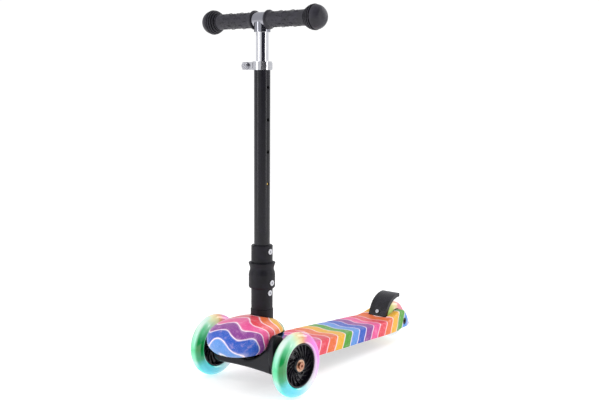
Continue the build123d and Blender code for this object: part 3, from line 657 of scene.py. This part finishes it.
def cover_mesh(settings):
    """Domed cover with a hole for the stem and a lower edge that arches over the steering ears."""
    half_width, half_length = settings.cover_half_width, settings.cover_half_length
    centre_y = COVER_LOW.y + half_length
    widest_z = settings.cover_widest
    rise = COVER_HIGH.z + 1.2 * MM - widest_z
    drop_depth = 40 * MM
    plan_power, side_power = 2.5, 2.2
    hole = Vector((0.0, STEM_AXIS.y))
    hole_radius = 22.1 * MM

    def share_out(x, y):
        return (abs(x / half_width) ** plan_power + abs((y - centre_y) / half_length) ** plan_power) ** (
            1 / plan_power
        )

    def outline(angle):
        direction = Vector((math.cos(angle), math.sin(angle)))
        low, high = 0.0, 0.4
        for _ in range(40):
            reach = (low + high) / 2
            spot = hole + direction * reach
            if share_out(spot.x, spot.y) < 1:
                low = reach
            else:
                high = reach
        return direction, low

    front_rim, first_rise, main_rise, rear_rise = 75.5 * MM, 5 * MM, 27 * MM, 7 * MM

    def rim_height(x, y):
        aside = step_between(24 * MM, 44 * MM, abs(x))
        arch = first_rise * step_between(-247 * MM, -232 * MM, y) + main_rise * step_between(
            -237 * MM, -213 * MM, y,
        )
        return front_rim + max(arch * aside, rear_rise * step_between(-190 * MM, -160 * MM, y))

    def height_at(ratio):
        return widest_z + rise * (1 - ratio ** side_power) ** (1 / side_power)

    def last_share(direction, reach, rim):
        """How far down its profile a column runs: 1 is the widest line."""
        if rim <= widest_z:
            return 1 + (widest_z - rim) / drop_depth
        low, high = 0.0, 1.0
        for _ in range(24):
            share = (low + high) / 2
            spot = hole + direction * (hole_radius + (reach - hole_radius) * math.sin(math.pi / 2 * share))
            if height_at(min(1.0, share_out(spot.x, spot.y))) > rim:
                low = share
            else:
                high = share
        return low

    columns, rows = 240, 46
    edges = [outline(2 * math.pi * column / columns) for column in range(columns)]
    ends = []
    for direction, reach in edges:
        edge = hole + direction * reach
        ends.append(last_share(direction, reach, rim_height(edge.x, edge.y)))
    points = []
    for row in range(rows):
        for (direction, reach), end in zip(edges, ends):
            share = end * row / (rows - 1)
            spread = math.sin(math.pi / 2 * min(1.0, share))
            spot = hole + direction * (hole_radius + (reach - hole_radius) * spread)
            if share <= 1:
                points.append((spot.x, spot.y, height_at(min(1.0, share_out(spot.x, spot.y)))))
                continue
            depth = share - 1
            ratio = (1 - depth ** side_power) ** (1 / side_power)
            points.append(
                (spot.x * ratio, centre_y + (spot.y - centre_y) * ratio, widest_z - depth * drop_depth)
            )
    skin = mesh_of("front_cover_skin", points, grid_faces(rows, columns))
    body = scratch(skin)
    shell = modified(body, "SOLIDIFY", thickness=settings.cover_wall, offset=-1.0, use_even_offset=False)
    drop(body)
    body = scratch(shell)
    finished = modified(
        body, "BEVEL", width=0.7 * MM, segments=3, limit_method="ANGLE", angle_limit=math.radians(50),
    )
    drop(body)
    return finished


def hub_mesh(name, material, centre, rim_radius, rim_half, count, web, slots):
    """Hub: stepped rim, dished web, collar round the bearing and thin swirl ribs on both faces."""
    core = 13.6 * MM
    half = 10.4 * MM
    inner = rim_radius - 3.4 * MM
    rim = turned_x(name + "_rim", rounded([
        (-rim_half, inner), (rim_half, inner), (rim_half, rim_radius - 1.0 * MM),
        (rim_half - 1.4 * MM, rim_radius), (-rim_half + 1.4 * MM, rim_radius), (
            -rim_half, rim_radius - 1.0 * MM,
        ),
    ], 0.5 * MM), Vector(), 128)
    collar = turned_x(name + "_collar", rounded([
        (-half, 11.1 * MM), (half, 11.1 * MM), (half, core - 0.6 * MM), (half - 3 * MM, core + 0.8 * MM),
        (-half + 3 * MM, core + 0.8 * MM), (-half, core - 0.6 * MM),
    ], 0.5 * MM), Vector(), 96)
    columns = 12 * slots
    web_points, web_faces = [], []
    radii = [core, 16.5 * MM, 18 * MM, 22.5 * MM, 25 * MM, 27.5 * MM, inner + 0.3 * MM]
    radii = [r for r in radii if r <= inner + 0.31 * MM]
    for side in (1, -1):
        for r in radii:
            share = (r - core) / (inner - core)
            face = side * (web + 2.4 * MM * (1 - share) + 1.2 * MM * share * share)
            for c in range(columns):
                angle = 2 * math.pi * (c / columns + 0.09 * share)
                web_points.append((face, r * math.cos(angle), r * math.sin(angle)))
    rows = len(radii)
    open_rows = range(2, rows - 3) if rows > 5 else range(0)
    def is_open(r, c):
        return r in open_rows and c % 12 in (2, 3, 4, 5)
    for side in (0, 1):
        base = side * rows * columns
        for r in range(rows - 1):
            for c in range(columns):
                if is_open(r, c):
                    continue
                c2 = (c + 1) % columns
                web_faces.append(
                    [
                        base + r * columns + c, base + r * columns + c2, base + (r + 1) * columns + c2,
                        base + (r + 1) * columns + c,
                    ]
                )
    other = rows * columns
    for r in open_rows:
        for c in range(columns):
            if not is_open(r, c):
                continue
            for (ra, ca), (rb, cb), (rn, cn) in (
                ((r, c), (r, c + 1), (r - 1, c)), ((r + 1, c), (r + 1, c + 1), (r + 1, c)),
                ((r, c), (r + 1, c), (r, c - 1)), ((r, c + 1), (r + 1, c + 1), (r, c + 1)),
            ):
                if is_open(rn, cn % columns):
                    continue
                a, b = ra * columns + ca % columns, rb * columns + cb % columns
                web_faces.append([a, b, other + b, other + a])
    web_mesh = mesh_of(name + "_web", web_points, web_faces)
    ribs = []
    for side in (1, -1):
        ribs.append(swirl_ribs(
            name + "_ribs", material, count, core, inner + 0.5 * MM,
            side * 0.7, 1.0 * MM, 4.6 * MM, side * (web + 2.6 * MM),
        ))
    whole = joined(name, [rim, collar, web_mesh, *ribs])
    return moved(whole, centre)


def grip_profile():
    """Half outline of a grip along X: flange, waisted barrel and ball end, as (x, radius)."""
    points = [(15.7, 12.0), (15.7, 16.6), (16.4, 17.6), (18.6, 17.7), (19.8, 16.4), (20.6, 15.2)]
    barrel_start, barrel_length, barrel_radius, waist = 22, 82, 14.6, 0.55
    for i in range(13):
        share = i / 12
        points.append((barrel_start + barrel_length * share, barrel_radius - waist * math.sin(math.pi * share)))
    neck_end, ball_centre, ball_radius, flat_from = 107.4, 124.5, 22.3, 141.6
    points.append((105.4, 14.9))
    start = math.acos((ball_centre - neck_end) / ball_radius)
    for i in range(25):
        angle = (math.pi - start) * (1 - i / 24)
        x = ball_centre + ball_radius * math.cos(angle)
        if x > flat_from:
            x = flat_from + (x - flat_from) * 0.55
        points.append((x, max(ball_radius * math.sin(angle), 0.0)))
    return [(x * MM, r * MM) for x, r in points]


def grip_mesh(name, side, material):
    """Hollow rubber grip with crescents on its barrel and ridges round its ball."""
    outer = grip_profile()
    bore = 11.2 * MM
    closed = outer + [(outer[-1][0] - 7 * MM, 0.0), (outer[-1][0] - 7 * MM, bore), (outer[0][0], bore)]
    body = turned_x(name + "_body", closed, Vector(), 96)
    ridges = stacked_rings(name + "_ridges", material, 5, 107.8 * MM, 4.2 * MM, 15.6 * MM, 22.2 * MM, 1.0 * MM)
    marks = grip_crescents(name + "_marks", material, 5, 34 * MM, 14 * MM, 13.9 * MM, 5.6 * MM, 0.48 * MM)
    whole = joined(name, [body, ridges, marks])
    centre = Vector((0, BAR_AXIS.y, BAR_AXIS.z))
    return moved(whole, centre, mirror_x=(side == "right"))


def extruded_x(name, outline, x_low, x_high, corner, bevel):
    """An outline of (y, z) points pushed out along X, with rounded corners and softened edges."""
    ring = rounded(outline, corner, 5)
    count = len(ring)
    points = [(x, y, z) for x in (x_low, x_high) for y, z in ring]
    faces = [list(range(count)), list(range(count, 2 * count))]
    faces += [[i, (i + 1) % count, count + (i + 1) % count, count + i] for i in range(count)]
    body = scratch(mesh_of(name, points, faces))
    softened = modified(
        body, "BEVEL", width=bevel, segments=3, limit_method="ANGLE", angle_limit=math.radians(40),
    )
    drop(body)
    return softened


def wing_mesh(name, half_length, steps=40):
    """Middle of the truck: a beam whose front edge sweeps forwards and upwards towards its ends."""
    points = []
    for i in range(2 * steps + 1):
        x = (i / steps - 1) * half_length
        share = abs(x) / half_length
        front = FRONT_AXLE.y - (25 + 6 * share ** 1.5) * MM
        top = (56 + 40 * share ** 1.6) * MM
        back = FRONT_AXLE.y
        section = rounded([
            (front + 6 * MM, 39 * MM), (front + 1 * MM, 42 * MM), (front, 47 * MM), (
                front + 0.5 * MM, top - 5 * MM,
            ),
            (front + 2.5 * MM, top - 1 * MM), (front + 6 * MM, top), (front + 10 * MM, top - 3 * MM),
            (front + 12 * MM, max(58 * MM, top - 14 * MM)), (back + 4 * MM, 58 * MM), (
                back + 22 * MM, 57.5 * MM,
            ),
            (back + 25.5 * MM, 54 * MM), (back + 25.5 * MM, 46 * MM), (back + 20 * MM, 39 * MM),
        ], 3 * MM, 3)
        points += [(x, y, z) for y, z in section]
    columns = len(section)
    rows = 2 * steps + 1
    faces = [list(face) for face in grid_faces(rows, columns)]
    faces += [list(range(columns)), list(range((rows - 1) * columns, rows * columns))]
    return mesh_of(name, points, faces)


def truck_mesh(name):
    """Steering truck: winged beam, rounded ears at its ends, axle bosses and a kingpin boss."""
    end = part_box("truck_beam")[1].x
    y = FRONT_AXLE.y
    wing_end, ear_inner, ear_outer, boss_inner = 66 * MM, 64 * MM, 77 * MM, 70 * MM
    axle_bore, boss_radius, pin_bore, pin_boss_radius = 6.1 * MM, 13 * MM, 12.5 * MM, 17 * MM
    pin_low, pin_high, pin_height = -15 * MM, 12 * MM, 58 * MM
    ear = [(y + across * MM, z * MM) for across, z in (
        (-30, 46), (-22, 39), (17, 39), (25, 46), (24, 62), (16, 74),
        (-2, 102), (-8, 110), (-19, 112), (-29, 108), (-34, 98), (-33, 70), (-30, 52),
    )]
    parts = [wing_mesh(name + "_wing", wing_end)]
    for side in (-1, 1):
        ends = sorted((side * ear_inner, side * ear_outer))
        parts.append(extruded_x(name + "_ear", ear, *ends, 5 * MM, 2.5 * MM))
        ends = sorted((side * boss_inner, side * end))
        boss = rounded([
            (ends[0], axle_bore), (ends[1], axle_bore), (ends[1], boss_radius), (ends[0], boss_radius),
        ], 1 * MM)
        parts.append(turned_x(name + "_boss", boss, FRONT_AXLE_LINE, 64))
    lean = math.radians(40)
    boss = rounded([
        (pin_low, pin_bore), (pin_high, pin_bore), (pin_high, pin_boss_radius), (pin_low, pin_boss_radius),
    ], 1.5 * MM)
    upright = turned_x(name + "_kingpin_boss", boss, Vector(), 64)
    axis = Vector((0, -math.sin(lean), math.cos(lean)))
    turn = Vector((1, 0, 0)).rotation_difference(axis).to_matrix().to_4x4()
    upright.transform(Matrix.Translation((0, y, pin_height)) @ turn)
    parts.append(upright)
    return joined(name, parts)


# ---- settings ----


class ScooterShellSettings(bpy.types.PropertyGroup):
    cover_half_width: bpy.props.FloatProperty(
        name="Cover half width", description="Half the domed cover's width", default=57 * MM, unit="LENGTH",
    )
    cover_half_length: bpy.props.FloatProperty(
        name="Cover half length", description="Half the domed cover's length", default=79 * MM,
        unit="LENGTH",
    )
    cover_widest: bpy.props.FloatProperty(
        name="Cover widest height", description="Height of the cover's widest line above the floor",
        default=101 * MM, unit="LENGTH",
    )
    cover_wall: bpy.props.FloatProperty(
        name="Cover wall", description="Thickness of the cover", default=2.6 * MM, unit="LENGTH",
    )
    deck_pitch: bpy.props.FloatProperty(
        name="Deck band width", description="Width of one printed band on the deck", default=26.2 * MM,
        unit="LENGTH",
    )
    side_lean: bpy.props.FloatProperty(
        name="Side lean", description="How far a band moves back for each metre up the deck's side", default=0.38,
    )
    wave_length: bpy.props.FloatProperty(
        name="Wave length", description="Length of the print's waves", default=58 * MM, unit="LENGTH",
    )
    wave_height: bpy.props.FloatProperty(
        name="Wave height", description="Height of the print's waves on the deck", default=4.5 * MM,
        unit="LENGTH",
    )
    cover_pitch: bpy.props.FloatProperty(
        name="Cover band angle", description="Angle of one printed band on the cover, in degrees",
        default=15.7,
    )
    cover_wave: bpy.props.FloatProperty(
        name="Cover wave angle", description="Height of the print's waves on the cover, in degrees",
        default=4.5,
    )
    cover_wave_length: bpy.props.FloatProperty(
        name="Cover wave length", description="Length of the print's waves over the cover's width",
        default=64 * MM, unit="LENGTH",
    )


class ScooterWheelSettings(bpy.types.PropertyGroup):
    glow: bpy.props.FloatProperty(
        name="Glow", description="Strength of the tyres' light", default=0.46, min=0.0,
    )
    body: bpy.props.FloatProperty(
        name="Body", description="Share of room light that the tyres' body sends back", default=0.4, min=0.0,
        max=1.0,
    )
    front_ribs: bpy.props.IntProperty(
        name="Front hub ribs", description="Swirl ribs on each face of a front hub", default=18, min=3,
    )
    rear_ribs: bpy.props.IntProperty(
        name="Rear hub ribs", description="Swirl ribs on each face of the rear hub", default=14, min=3,
    )


class ScooterStageSettings(bpy.types.PropertyGroup):
    lens: bpy.props.FloatProperty(
        name="Lens", description="Focal length of the camera", default=55.3805, subtype="DISTANCE_CAMERA",
    )
    camera_place: bpy.props.FloatVectorProperty(
        name="Camera place", description="Where the camera stands", default=(1.14815, -1.45963, 0.56116),
        subtype="TRANSLATION",
    )
    camera_turn: bpy.props.FloatVectorProperty(
        name="Camera turn", description="Heading, tilt down and roll of the camera, in degrees",
        default=(39.517, 6.931, 0.351),
    )
    floor_colour: bpy.props.FloatVectorProperty(
        name="Floor colour", description="Colour of the floor", default=(0.66, 0.66, 0.66), subtype="COLOR",
        min=0.0, max=1.0,
    )
    floor_glow: bpy.props.FloatProperty(
        name="Floor glow", description="Light given by the floor itself, which keeps it white far away",
        default=0.52, min=0.0,
    )
    dark_heading: bpy.props.FloatProperty(
        name="Dark heading",
        description="Heading of the dark side of the studio, in degrees from +X, seen only in reflections",
        default=-29.0,
    )
    dark_half_angle: bpy.props.FloatProperty(
        name="Dark half angle", description="Half the angle that the studio's dark side covers, in degrees",
        default=34.0,
    )


# ---- operators ----


class SCOOTER_OT_cover(bpy.types.Operator):
    """Builds the printed dome over the front truck"""
    bl_idname = "scooter.cover"
    bl_label = "Front cover"

    def execute(self, context):
        settings = context.scene.scooter_shell
        piece(
            "printed_front_cover", cover_mesh(settings), cover_print(settings), "chassis", "printed_shell",
            "front_cover",
        )
        return {"FINISHED"}


class SCOOTER_OT_deck(bpy.types.Operator):
    """Finishes the printed deck, its underplate and its screws"""
    bl_idname = "scooter.deck"
    bl_label = "Deck"

    def execute(self, context):
        paint(deck_print(context.scene.scooter_shell), "deck_shell")
        paint(black_nylon("underplate_nylon", roughness=0.5), "deck_underplate")
        paint(brushed_metal("screw_zinc", tint(196, 196, 200), 0.3), "deck_screws")
        return {"FINISHED"}


class SCOOTER_OT_tyres(bpy.types.Operator):
    """Lights the three cast tyres and their lamp rings"""
    bl_idname = "scooter.tyres"
    bl_label = "Tyres"

    def execute(self, context):
        settings = context.scene.scooter_wheels
        for name in ("left_tyre", "right_tyre", "rear_tyre"):
            low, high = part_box(name)
            glows = (REAR_GLOW, REAR_GLOW) if name == "rear_tyre" else (CROWN_GLOW, WALL_GLOW)
            paint(lit_tyre("lit_" + name, (low + high) / 2, (high.z - low.z) / 2, *glows, settings), name)
        ring = Finish("lamp_ring", Roughness=0.4)
        glow = ring.mix(ring.remap(ring.noise(8 * MM), 0.3, 0.7), tint(206, 250, 232), tint(246, 252, 248))
        ring.set("Base Color", glow)
        ring.set("Emission Color", glow)
        ring.shader.inputs["Emission Strength"].default_value = 0.8
        paint(ring.material, "left_light_ring", "right_light_ring", "rear_light_ring")
        return {"FINISHED"}


class SCOOTER_OT_hubs(bpy.types.Operator):
    """Builds the three hubs with their swirl ribs"""
    bl_idname = "scooter.hubs"
    bl_label = "Hubs"

    def execute(self, context):
        settings = context.scene.scooter_wheels
        nylon = black_nylon("hub_nylon", roughness=0.16, grain=0.03, gloss=0.5)
        for wheel, ribs, half in (
            ("left", settings.front_ribs, 11.0), ("right", settings.front_ribs, 11.0),
            ("rear", settings.rear_ribs, 11.7),
        ):
            low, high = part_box(wheel + "_hub")
            radius = (high.z - low.z) / 2
            mesh = hub_mesh(wheel + "_swirl_hub", nylon, (low + high) / 2, radius, half * MM, ribs, 1.4 * MM, 9)
            piece(wheel + "_swirl_hub", mesh, nylon, wheel + "_wheel", "black_nylon", wheel + "_hub")
        return {"FINISHED"}


class SCOOTER_OT_axles(bpy.types.Operator):
    """Finishes bearings, axle bolts, spacers and lamp cores"""
    bl_idname = "scooter.axles"
    bl_label = "Axles and bearings"

    def execute(self, context):
        # Painted reflection: the steel bearings and front axle bolts get a reddish-brown tint that stands for
        # light reflected into them.
        paint(
            brushed_metal("bearing_bronze", tint(206, 168, 142), 0.3, axis=0), "left_bearings",
            "right_bearings", "rear_bearings",
        )
        paint(brushed_metal("bolt_reflected_tint", tint(190, 138, 116), 0.28, axis=0), "front_axle_bolts")
        paint(brushed_metal("bolt_black", tint(58, 56, 62), 0.34, axis=0), "rear_axle_bolt")
        paint(
            brushed_metal("axle_zinc", tint(190, 190, 196), 0.3, axis=0), "rear_axle_nut", "wheel_spacers",
            "rear_spacers", "brake_pin",
        )
        paint(black_nylon("core_nylon"), "front_magnet_cores", "rear_magnet_core")
        return {"FINISHED"}


class SCOOTER_OT_truck(bpy.types.Operator):
    """Finishes the front truck, the kingpin and its springs"""
    bl_idname = "scooter.truck"
    bl_label = "Front truck"

    def execute(self, context):
        nylon = black_nylon("truck_nylon", roughness=0.38)
        paint(nylon, "steering_head")
        piece("winged_truck", truck_mesh("winged_truck"), nylon, "steering_truck", "black_nylon", "truck_beam")
        paint(
            brushed_metal("kingpin_zinc", tint(184, 184, 190), 0.32), "kingpin_bolt", "kingpin_washers",
            "kingpin_nut", "centering_springs",
        )
        paint(soft_rubber("bush_rubber"), "truck_bush")
        return {"FINISHED"}


class SCOOTER_OT_fold(bpy.types.Operator):
    """Finishes the folding knuckles, the lock sleeve and their screws"""
    bl_idname = "scooter.fold"
    bl_label = "Folding joint"

    def execute(self, context):
        paint(
            black_nylon("fold_nylon", roughness=0.46), "stem_base_collar", "lower_knuckle", "upper_knuckle",
            "lock_sleeve",
        )
        paint(
            brushed_metal("fold_zinc", tint(206, 206, 212), 0.26, axis=0), "fold_bolt", "fold_nut",
            "stem_bolt", "sleeve_screw", "tube_screw", "lock_spring",
        )
        return {"FINISHED"}


class SCOOTER_OT_stem(bpy.types.Operator):
    """Finishes the stem tube, the clamp and its lever"""
    bl_idname = "scooter.stem"
    bl_label = "Stem and clamp"

    def execute(self, context):
        paint(powder_black(), "stem_tube")
        paint(black_nylon("bushing_nylon"), "tube_bushing")
        paint(
            brushed_metal("clamp_polish", tint(222, 222, 226), 0.14, relief=0.02), "clamp_collar",
            "clamp_lever",
        )
        paint(brushed_metal("clamp_zinc", tint(190, 190, 196), 0.28), "clamp_bolt", "clamp_nut", "clamp_pin")
        return {"FINISHED"}


class SCOOTER_OT_bar(bpy.types.Operator):
    """Finishes the sliding tube, the saddle, the crossbar and the snap button"""
    bl_idname = "scooter.bar"
    bl_label = "Handlebar"

    def execute(self, context):
        paint(
            brushed_metal("bar_chrome", tint(236, 236, 240), 0.06, dark=0.95, relief=0.004), "inner_tube",
            "crossbar",
        )
        paint(
            brushed_metal("saddle_chrome", tint(160, 160, 168), 0.1, axis=0, dark=0.9, relief=0.004),
            "handlebar_saddle",
        )
        paint(black_nylon("plug_nylon"), "tube_plug")
        paint(brushed_metal("button_brass", tint(206, 172, 96), 0.24, axis=0), "snap_button")
        paint(brushed_metal("spring_steel", tint(170, 170, 178), 0.3), "button_spring")
        return {"FINISHED"}


class SCOOTER_OT_grips(bpy.types.Operator):
    """Builds the two rubber grips with their ball ends"""
    bl_idname = "scooter.grips"
    bl_label = "Grips"

    def execute(self, context):
        rubber = soft_rubber("grip_rubber", shade_in_recesses=True)
        for side in SIDES:
            piece(
                side + "_ball_grip", grip_mesh(side + "_ball_grip", side, rubber), rubber, "t_bar",
                "grip_rubber", side + "_grip",
            )
        return {"FINISHED"}


class SCOOTER_OT_brake(bpy.types.Operator):
    """Finishes the fender brake"""
    bl_idname = "scooter.brake"
    bl_label = "Fender brake"

    def execute(self, context):
        paint(black_nylon("fender_nylon", roughness=0.24, grain=0.06, gloss=0.45), "brake_fender")
        paint(
            brushed_metal("brake_zinc", tint(206, 206, 212), 0.26), "brake_screw", "brake_wear_plate",
            "brake_spring",
        )
        return {"FINISHED"}


class SCOOTER_OT_stage(bpy.types.Operator):
    """Sets the floor, the soft lights and the camera"""
    bl_idname = "scooter.stage"
    bl_label = "Stage"

    def execute(self, context):
        settings = context.scene.scooter_stage
        floor = Finish(
            "stage_floor", Roughness=0.9, Specular_IOR_Level=0.0, Emission_Strength=settings.floor_glow,
        )
        pale = tuple(settings.floor_colour) + (1.0,)
        cloud = floor.remap(floor.noise(0.4), 0.3, 0.7)
        floor.set("Emission Color", (1.0, 1.0, 1.0, 1.0))
        floor.set("Base Color", floor.mix(cloud, pale, tuple(level * 0.99 for level in pale[:3]) + (1.0,)))
        mesh = bpy.data.meshes.new("stage_floor")
        reach = 14.0
        mesh.from_pydata(
            [(-reach, -reach, 0), (reach, -reach, 0), (reach, reach, 0), (-reach, reach, 0)], [],
            [(0, 1, 2, 3)],
        )
        mesh.materials.append(floor.material)
        plane = bpy.data.objects.new("stage_floor", mesh)
        context.scene.collection.objects.link(plane)
        self.lights(context)
        self.world(context, settings)
        self.camera(context, settings)
        context.scene.view_settings.view_transform = "Standard"
        return {"FINISHED"}

    def lights(self, context):
        for name, place, aim, width, height, power, reflected in (
            ("key", (-1.1, -1.9, 2.1), (0, 0, 0.3), 1.1, 1.5, 26.0, False),
            ("fill", (2.4, -1.0, 1.3), (0, 0, 0.3), 1.0, 1.4, 10.0, False),
            ("rim", (0.6, 2.2, 1.8), (0, 0, 0.3), 1.2, 1.7, 22.0, True),
            ("right_strip", (2.4, 0.35, 0.9), (0, -0.15, 0.5), 0.32, 1.9, 9.0, True),
            ("left_strip", (-0.9, -2.2, 0.9), (0, -0.15, 0.5), 0.42, 1.9, 9.0, True),
        ):
            lamp = bpy.data.lights.new(name, "AREA")
            lamp.shape = "RECTANGLE"
            lamp.size, lamp.size_y = width, height
            lamp.energy = power
            holder = bpy.data.objects.new(name, lamp)
            holder.location = place
            holder.rotation_euler = (Vector(aim) - Vector(place)).to_track_quat("-Z", "Y").to_euler()
            holder.visible_glossy = reflected
            context.scene.collection.objects.link(holder)

    def world(self, context, settings):
        """White for the camera, soft for diffuse light, and with one dark side for reflections."""
        world = bpy.data.worlds.new("studio")
        world.use_nodes = True
        nodes, links = world.node_tree.nodes, world.node_tree.links
        nodes.clear()

        def background(level, strength):
            node = nodes.new("ShaderNodeBackground")
            node.inputs["Color"].default_value = (*level, 1)
            node.inputs["Strength"].default_value = strength
            return node.outputs[0]

        def blend(share, first, second):
            node = nodes.new("ShaderNodeMixShader")
            for socket, value in zip(node.inputs, (share, first, second)):
                links.new(value, socket)
            return node.outputs[0]

        flat = nodes.new("ShaderNodeVectorMath")
        flat.operation = "MULTIPLY"
        flat.inputs[1].default_value = (1, 1, 0)
        links.new(nodes.new("ShaderNodeTexCoord").outputs["Generated"], flat.inputs[0])
        level = nodes.new("ShaderNodeVectorMath")
        level.operation = "NORMALIZE"
        links.new(flat.outputs[0], level.inputs[0])
        facing = nodes.new("ShaderNodeVectorMath")
        facing.operation = "DOT_PRODUCT"
        heading = math.radians(settings.dark_heading)
        facing.inputs[1].default_value = (math.cos(heading), math.sin(heading), 0)
        links.new(level.outputs[0], facing.inputs[0])
        sector = nodes.new("ShaderNodeMapRange")
        edge = math.cos(math.radians(settings.dark_half_angle))
        sector.inputs["From Min"].default_value = edge - 0.04
        sector.inputs["From Max"].default_value = edge + 0.04
        links.new(facing.outputs["Value"], sector.inputs["Value"])
        path = nodes.new("ShaderNodeLightPath").outputs
        pale, dark = background((0.96, 0.97, 1.0), 0.8), background((0.02, 0.02, 0.03), 1.0)
        soft, seen = background((1, 1, 1), 0.82), background((1, 1, 1), 1.05)
        shiny = blend(path["Is Glossy Ray"], soft, blend(sector.outputs["Result"], pale, dark))
        output = nodes.new("ShaderNodeOutputWorld")
        links.new(blend(path["Is Camera Ray"], shiny, seen), output.inputs["Surface"])
        context.scene.world = world

    def camera(self, context, settings):
        heading, down, roll = (math.radians(v) for v in settings.camera_turn)
        forward = Vector(
            (-math.sin(heading) * math.cos(down), math.cos(heading) * math.cos(down), -math.sin(down))
        )
        side = Vector((math.cos(heading), math.sin(heading), 0))
        upward = side.cross(forward)
        across = side * math.cos(roll) + upward * math.sin(roll)
        upward = upward * math.cos(roll) - side * math.sin(roll)
        lens = bpy.data.cameras.new("view")
        lens.lens = settings.lens
        lens.sensor_fit = "HORIZONTAL"
        lens.sensor_width = 36.0
        camera = bpy.data.objects.new("view", lens)
        turned = Matrix((across, upward, -forward)).transposed().to_4x4()
        camera.matrix_world = Matrix.Translation(settings.camera_place) @ turned
        context.scene.collection.objects.link(camera)
        context.scene.camera = camera


PARTS = (
    SCOOTER_OT_cover, SCOOTER_OT_deck, SCOOTER_OT_tyres, SCOOTER_OT_hubs, SCOOTER_OT_axles, SCOOTER_OT_truck,
    SCOOTER_OT_fold, SCOOTER_OT_stem, SCOOTER_OT_bar, SCOOTER_OT_grips, SCOOTER_OT_brake, SCOOTER_OT_stage,
)
GROUPS = (ScooterShellSettings, ScooterWheelSettings, ScooterStageSettings)


class SCOOTER_PT_parts(bpy.types.Panel):
    """Lists the scooter's pieces"""
    bl_idname = "SCOOTER_PT_parts"
    bl_label = "Kick scooter"
    bl_space_type = "VIEW_3D"
    bl_region_type = "UI"
    bl_category = "Kick scooter"

    def draw(self, context):
        for operator in PARTS:
            self.layout.operator(operator.bl_idname)
        for settings in (
            context.scene.scooter_shell, context.scene.scooter_wheels, context.scene.scooter_stage,
        ):
            column = self.layout.column()
            for name in settings.__annotations__:
                column.prop(settings, name)


def register():
    for kind in (*GROUPS, *PARTS, SCOOTER_PT_parts):
        bpy.utils.register_class(kind)
    bpy.types.Scene.scooter_shell = bpy.props.PointerProperty(type=ScooterShellSettings)
    bpy.types.Scene.scooter_wheels = bpy.props.PointerProperty(type=ScooterWheelSettings)
    bpy.types.Scene.scooter_stage = bpy.props.PointerProperty(type=ScooterStageSettings)


def unregister():
    del bpy.types.Scene.scooter_stage
    del bpy.types.Scene.scooter_wheels
    del bpy.types.Scene.scooter_shell
    for kind in reversed((*GROUPS, *PARTS, SCOOTER_PT_parts)):
        bpy.utils.unregister_class(kind)


def main():
    register()
    for operator in PARTS:
        group, name = operator.bl_idname.split(".")
        getattr(getattr(bpy.ops, group), name)()


if __name__ == "__main__":
    main()
